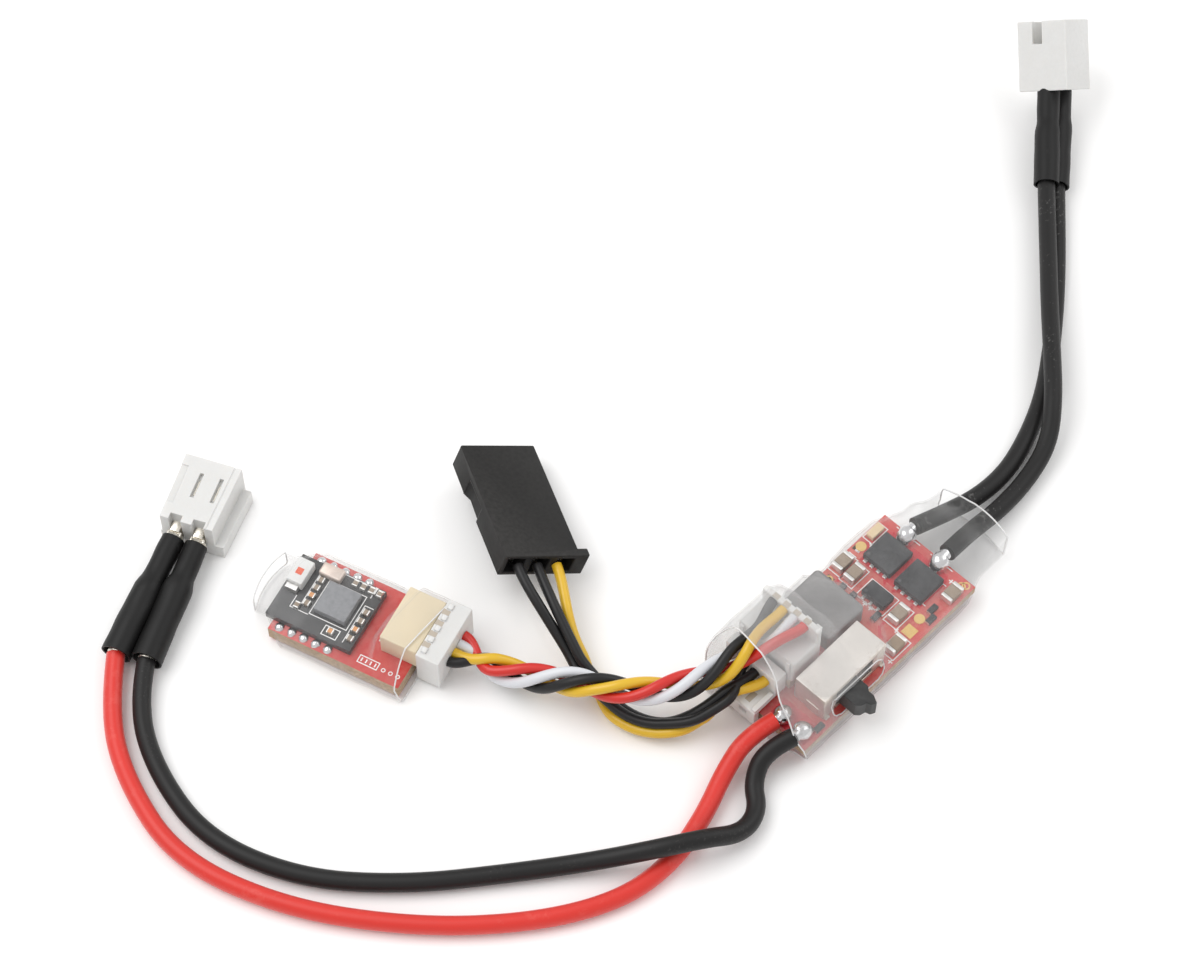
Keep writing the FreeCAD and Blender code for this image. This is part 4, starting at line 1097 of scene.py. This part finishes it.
def radioLegend(verts, faces):
    low, high = radioTop, radioTop + 0.02
    stroke(verts, faces, boxLine(-2.0, 0.2, 3.9, 3.9), 0.09, low, high, moduleTurn)
    stroke(verts, faces, boxLine(-1.2, -2.6, 1.5, 1.0), 0.09, low, high, moduleTurn)
    stroke(verts, faces, [(-5.1, -1.9), (-5.1, 2.3), (-3.2, 3.35), (1.2, 3.35)], 0.08, low, high, moduleTurn)
    stroke(verts, faces, [(-5.9, -0.6), (-5.9, -1.9), (-4.0, -1.9)], 0.08, low, high, moduleTurn)
    stroke(verts, faces, [(0.25, -3.0), (0.25, 1.3), (1.15, 1.3)], 0.08, low, high, moduleTurn)
    stroke(verts, faces, [(0.3, 2.2), (0.3, 3.3)], 0.10, low, high, moduleTurn)


def moduleLegend(verts, faces):  # plain marks, no lettering
    low, high = moduleTop, moduleTop + 0.02
    stroke(verts, faces, boxLine(3.15, -3.35, 2.0, 0.75), 0.10, low, high, moduleTurn)
    for step in range(4):
        stroke(verts, faces, [(2.45 + step * 0.47, -3.55), (2.45 + step * 0.47, -3.15)], 0.13, low, high, moduleTurn)
    for step in range(3):
        outline = [(4.75 + step * 0.75 + 0.18 * math.cos(turn), -3.45 + 0.18 * math.sin(turn)) for turn in
                   (2 * math.pi * number / 10 for number in range(11))]
        outline[-1] = outline[0]
        stroke(verts, faces, outline, 0.09, low, high, moduleTurn)
    for step in (-1.5, -0.5, 0.5, 1.5):
        stroke(verts, faces, [(2.9, 1.2 + step * 1.25), (3.5, 1.2 + step * 1.25)], 0.6, low, high, moduleTurn)


def antennaPatch(verts, faces):
    boxForm(verts, faces, (-6.85, 0.85, 3.89), (-6.2, 1.55, 3.915), moduleTurn)


def copperParts(verts, faces):
    for x, y in ((-4.6, -0.1), (-1.2, -2.6), (0.75, -1.4)):
        boxForm(verts, faces, (x - 0.2, y - 0.22, 3.08), (x + 0.2, y + 0.22, 3.125), moduleTurn)


inlay("radioLegend", "legendPaint", radioLegend)
inlay("moduleLegend", "legendPaint", moduleLegend)
inlay("antennaPatch", "antennaMark", antennaPatch)
inlay("copperParts", "copperPart", copperParts)


def edgeBeads(name, node, low):
    verts, faces = [], []
    for step in range(5):
        for side in (-1, 1):
            x, y = -5.9 + 1.27 * step, side * 3.94
            base = len(verts)
            profile = ((1.0, 0.0), (0.95, 0.10), (0.78, 0.22), (0.48, 0.31), (0.18, 0.34))
            for wide, high in profile:
                for turn in range(16):
                    angle = 2 * math.pi * turn / 16
                    wave = 1 + 0.16 * noise.noise(Vector((x * 2 + math.cos(angle), y + math.sin(angle), high)))
                    place = Vector((x + math.cos(angle) * wide * moduleLook["joint"] * wave * 0.95,
                                    y - side * 0.05 + math.sin(angle) * wide * moduleLook["joint"] * wave, low + high))
                    verts.append(moduleTurn @ place)
            for ring in range(len(profile) - 1):
                for turn in range(16):
                    other = (turn + 1) % 16
                    faces.append([base + ring * 16 + turn, base + ring * 16 + other,
                                  base + (ring + 1) * 16 + other, base + (ring + 1) * 16 + turn])
            faces.append([base + (len(profile) - 1) * 16 + turn for turn in range(16)])
            faces.append([base + turn for turn in reversed(range(16))])
    item = newObject(name, verts, faces)
    smoothOver(item, 70)
    return dress(item, "solderMetal", main, [node])


edgeBeads("castellationSolder", "castellation_solder", moduleTop)


def toothGapShade(verts, faces):  # painted shade in the gaps between the plug's latching teeth
    for step in (-1.5, -0.5, 0.5, 1.5):
        y = 1.2 + step * 1.25
        boxForm(verts, faces, (7.5, y - 0.28, 4.93), (8.25, y + 0.28, 4.965), moduleTurn)


inlay("modulePlugGaps", "plugShade", toothGapShade)
print("radio module ready")

# connectors at the ends of the power wires

shrinkLook = {"colour": (0.0075, 0.0073, 0.0073), "bare": 1.3, "wall": 0.17, "narrow": 1.12}
makeFinish("blackShrink", shrinkLook["colour"], rough=0.48, drift=0.14, patch=350, tooth=3500, bump=0.35, reach=0.03,
           scuff=0.22, scuffColour=(0.09, 0.09, 0.09), scuffScale=1400, coverage=0.34, specular=0.28)


def stationTurn(place, direction):  # local z along a level direction, local y up
    forward = Vector(direction).normalized()
    upward = Vector((0, 0, 1))
    sideways = upward.cross(forward)
    turn = Matrix((sideways, upward, forward)).transposed().to_4x4()
    return Matrix.Translation(place) @ turn


def shrinkTubes(name, station, wireEnds, node, bare, wide):
    verts, faces = [], []
    for side, end in zip((-1, 1), wireEnds):
        root = station @ Vector((side * 1.15, 0, -bare))
        end = Vector(end)
        axis = (end - root).normalized()
        count, around = 26, 28
        sideways = axis.cross(Vector((0, 0, 1))).normalized()
        upward = sideways.cross(axis)
        base = len(verts)
        rows = []
        for number in range(count):
            share = number / (count - 1)
            shoulder = min(1.0, max(0.0, (share - 0.30 - 0.03 * side) / 0.12))
            outer = shrinkLook["narrow"] + (wide - shrinkLook["narrow"]) * shoulder * shoulder * (3 - 2 * shoulder)
            outer *= 1 + 0.02 * math.sin(share * 9 + side)
            rows.append((root + (end - root) * share, outer))
        rows.append((rows[-1][0] - axis * 0.01, rows[-1][1] - shrinkLook["wall"]))
        rows.append((rows[-1][0] - axis * 1.5, 0.86))
        for middle, reach in rows:
            for step in range(around):
                angle = 2 * math.pi * step / around
                dent = 1 + 0.05 * noise.noise(middle * 0.5 + Vector((math.cos(angle), math.sin(angle), side)) * 0.8)
                verts.append(middle + (sideways * math.cos(angle) + upward * math.sin(angle)) * reach * dent)
        for number in range(len(rows) - 1):
            for step in range(around):
                other = (step + 1) % around
                faces.append([base + number * around + step, base + number * around + other,
                              base + (number + 1) * around + other, base + (number + 1) * around + step])
        faces.append([base + step for step in reversed(range(around))])
        faces.append([base + (len(rows) - 1) * around + step for step in range(around)])
    item = newObject(name, verts, faces)
    smoothOver(item, 50)
    return dress(item, "blackShrink", main, [node])


def cellForm(name, steps, filled, station, lean=None):
    # a block built of boxes between the steps on three axes, keeping only its outside
    verts, faces, known = [], [], {}

    def corner(place):
        if place not in known:
            known[place] = len(verts)
            point = Vector([steps[axis][place[axis]] for axis in range(3)])
            verts.append(station @ (lean(point) if lean else point))
        return known[place]

    counts = [len(axis) - 1 for axis in steps]
    inside = {(i, j, k) for i in range(counts[0]) for j in range(counts[1]) for k in range(counts[2])
              if filled(*[(steps[axis][at] + steps[axis][at + 1]) / 2 for axis, at in enumerate((i, j, k))])}
    for cell in sorted(inside):
        for axis in range(3):
            for way in (0, 1):
                beside = list(cell)
                beside[axis] += 1 if way else -1
                if tuple(beside) in inside:
                    continue
                first, second = (axis + 1) % 3, (axis + 2) % 3
                ring = []
                for a, b in ((0, 0), (1, 0), (1, 1), (0, 1)):
                    place = list(cell)
                    place[axis] += way
                    place[first] += a
                    place[second] += b
                    ring.append(corner(tuple(place)))
                faces.append(ring if way else ring[::-1])
    item = newObject(name, verts, faces)
    form = bmesh.new()
    form.from_mesh(item.data)
    bmesh.ops.dissolve_limit(form, angle_limit=math.radians(1), verts=form.verts, edges=form.edges)
    form.to_mesh(item.data)
    form.free()
    return item


# the battery connector: x runs across it, y up, z from the wires towards its mouth
batteryStation = stationTurn((-34.8, 51.0, 2.3), (0.9, 0.43, 0))
batteryLook = {"halfWidth": 2.85, "skirt": 3.75, "top": 2.3, "skirtTop": -0.5, "start": -0.5, "length": 6.6, "pitch": 2.3,
               "slot": 0.19, "slotShift": -0.45, "slotPitch": 2.0, "slotStart": 2.3, "slotEnd": 5.0, "mouthCut": 0.15,
               "cutWidth": 0.6}
shape = batteryLook
pins = (-shape["pitch"] / 2, shape["pitch"] / 2)
slots = [shape["slotShift"] + side * shape["slotPitch"] / 2 for side in (-1, 1)]


def batterySolid(x, y, z):
    if x < -shape["halfWidth"] and (y > shape["skirtTop"] or z > shape["length"] - 0.5):
        return False
    if x > shape["halfWidth"] and (y > shape["skirtTop"] or z > shape["length"] - 1.19):
        return False
    if y > 1.85 and shape["slotStart"] < z < shape["slotEnd"] and min(abs(x - slot) for slot in slots) < shape["slot"]:
        return False
    if z < shape["mouthCut"] and y > -0.9 and min(abs(x - pin) for pin in pins) < shape["cutWidth"]:
        return False
    if -2.25 < x < -2.1 and y > 2.2:
        return False
    return not (x > 2.1 and y > 2.16 and 1.2 < z < 5.4)


acrossSteps = sorted({-shape["skirt"], -shape["halfWidth"], -2.25, -2.1, 2.1, shape["halfWidth"], 3.05,
                      *[pin + way * shape["cutWidth"] for pin in pins for way in (-1, 1)],
                      *[slot + way * shape["slot"] for slot in slots for way in (-1, 1)]})
batteryConnector = cellForm(
    "batteryConnector",
    (acrossSteps, (-2.28, -0.9, shape["skirtTop"], 1.85, 2.16, 2.2, shape["top"]),
     sorted({shape["start"], shape["mouthCut"], 1.2, shape["slotStart"], shape["slotEnd"], 5.4, shape["length"] - 1.2 + 0.01,
             shape["length"] - 0.5, shape["length"]})),
    batterySolid, batteryStation,
    lambda point: Vector((point.x * (0.93 + 0.01 * point.z) if abs(point.x) > 2 else point.x, point.y, point.z)))
rounded(batteryConnector, 0.05, 2)
dress(batteryConnector, "whiteNylon", main, ["battery_connector"])
fromNode("battery_contacts", "contactMetal", 0.04)
batteryShrinks = shrinkTubes("batteryShrinkTubes", batteryStation, ((-46.6, 44.1, 1.6), (-48.1, 46.6, 1.6)),
                             "battery_shrink_tubes", shrinkLook["bare"], 1.45)


def crimpBarrels(verts, faces):  # bare crimped metal between a connector's back and its shrink tubes
    for side in (-1, 1):
        for low, high, half in ((-1.5, 1.3, 0.5), (-1.2, -0.7, 0.72), (-0.3, 0.2, 0.68)):
            boxForm(verts, faces, (side * 1.15 - half, -half * 0.9, low), (side * 1.15 + half, half * 0.9, high),
                    batteryStation)
    for slot in slots:
        boxForm(verts, faces, (slot - 0.12, 1.7, 2.7), (slot + 0.12, 1.92, 4.5), batteryStation)


rounded(inlay("crimpBarrels", "contactMetal", crimpBarrels), 0.12)

# the motor connector lies on an edge with its mouth raised: x runs along its pins, y across, z to its mouth
motorLook = {"place": (59.85, 25.6, 3.95), "roll": 31, "lean": 12.5, "halfWidth": 2.8, "halfPins": 2.25, "length": 7.0,
             "notch": (-1.06, 0.02), "notchDepth": 2.3, "wall": 0.75}
seenFrom = (Vector(cameraLook["place"]) - Vector(motorLook["place"])).normalized()
level = Vector((0, 0, 1)).cross(seenFrom).normalized()
raised = Matrix.Rotation(math.radians(motorLook["lean"]), 3, seenFrom) @ seenFrom.cross(level)
level = raised.cross(seenFrom)
roll = math.radians(motorLook["roll"])
pinLine = seenFrom * math.cos(roll) - level * math.sin(roll)
motorStation = Matrix.Translation(motorLook["place"]) @ Matrix((pinLine, raised.cross(pinLine), raised)).transposed().to_4x4()
motorShape = motorLook


def motorSolid(x, y, z):
    if z < motorShape["length"] - motorShape["notchDepth"]:
        return True
    wall = motorShape["wall"]
    if motorShape["notch"][0] < y < motorShape["notch"][1]:
        return False
    return abs(x) > motorShape["halfPins"] - wall or abs(y) > motorShape["halfWidth"] - wall


motorConnector = cellForm(
    "motorConnector",
    ((-2.25, -1.5, 0.0, 1.5, 2.25), (-2.8, -2.05, -1.06, 0.02, 2.05, 2.8), (0.0, 4.7, 7.0)), motorSolid, motorStation)
rounded(motorConnector, 0.12, 3)
dress(motorConnector, "whiteNylon", main, ["motor_connector"])


def motorPins(verts, faces):
    for side in (-1, 1):
        boxForm(verts, faces, (side * 1.15 - 0.55, -0.55, -0.9), (side * 1.15 + 0.55, 0.55, 0.1), motorStation)
        boxForm(verts, faces, (side * 1.15 - 0.3, -0.45, 4.6), (side * 1.15 + 0.3, 0.45, 6.2), motorStation)


motorContacts = rounded(inlay("motorContacts", "contactMetal", motorPins), 0.08)
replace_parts(motorContacts, "motor_contacts")
motorShrinks = shrinkTubes("motorShrinkTubes", motorStation, ((52.5, 18.8, 1.32), (51.2, 19.2, 2.6)),
                           "motor_shrink_tubes", 0.1, 1.28)
print("power connectors ready")

# servo lead's housing

housingLook = {"nylon": (0.008, 0.0076, 0.0074), "edge": 0.13, "bite": 0.34, "biteFrom": 6.6, "biteTo": 10.2}
makeFinish("housingNylon", housingLook["nylon"], rough=0.6, drift=0.12, patch=300, tooth=5000, bump=0.2, reach=0.012,
           edge=0.25, edgeColour=(0.09, 0.085, 0.08), specular=0.3)
servoHousing = fromNode("servo_housing", "housingNylon", 0)
verts, faces = [], []
side, bite = -3.85, housingLook["bite"]
slab(verts, faces, [(side - 1, housingLook["biteFrom"]), (side - 1, housingLook["biteTo"]), (side, housingLook["biteTo"]),
                    (side + bite, housingLook["biteTo"] - 0.9), (side + bite * 0.7, housingLook["biteFrom"] + 0.3),
                    (side, housingLook["biteFrom"])], -0.5, 2.0,
     servoTurn @ Matrix(((1, 0, 0, 0), (0, 0, 1, 0), (0, 1, 0, 0), (0, 0, 0, 1))))
carve(servoHousing, verts, faces)
rounded(servoHousing, housingLook["edge"], 2)
fromNode("servo_contacts", "contactMetal", 0.03)
print("servo housing ready")

bpy.context.view_layer.update()
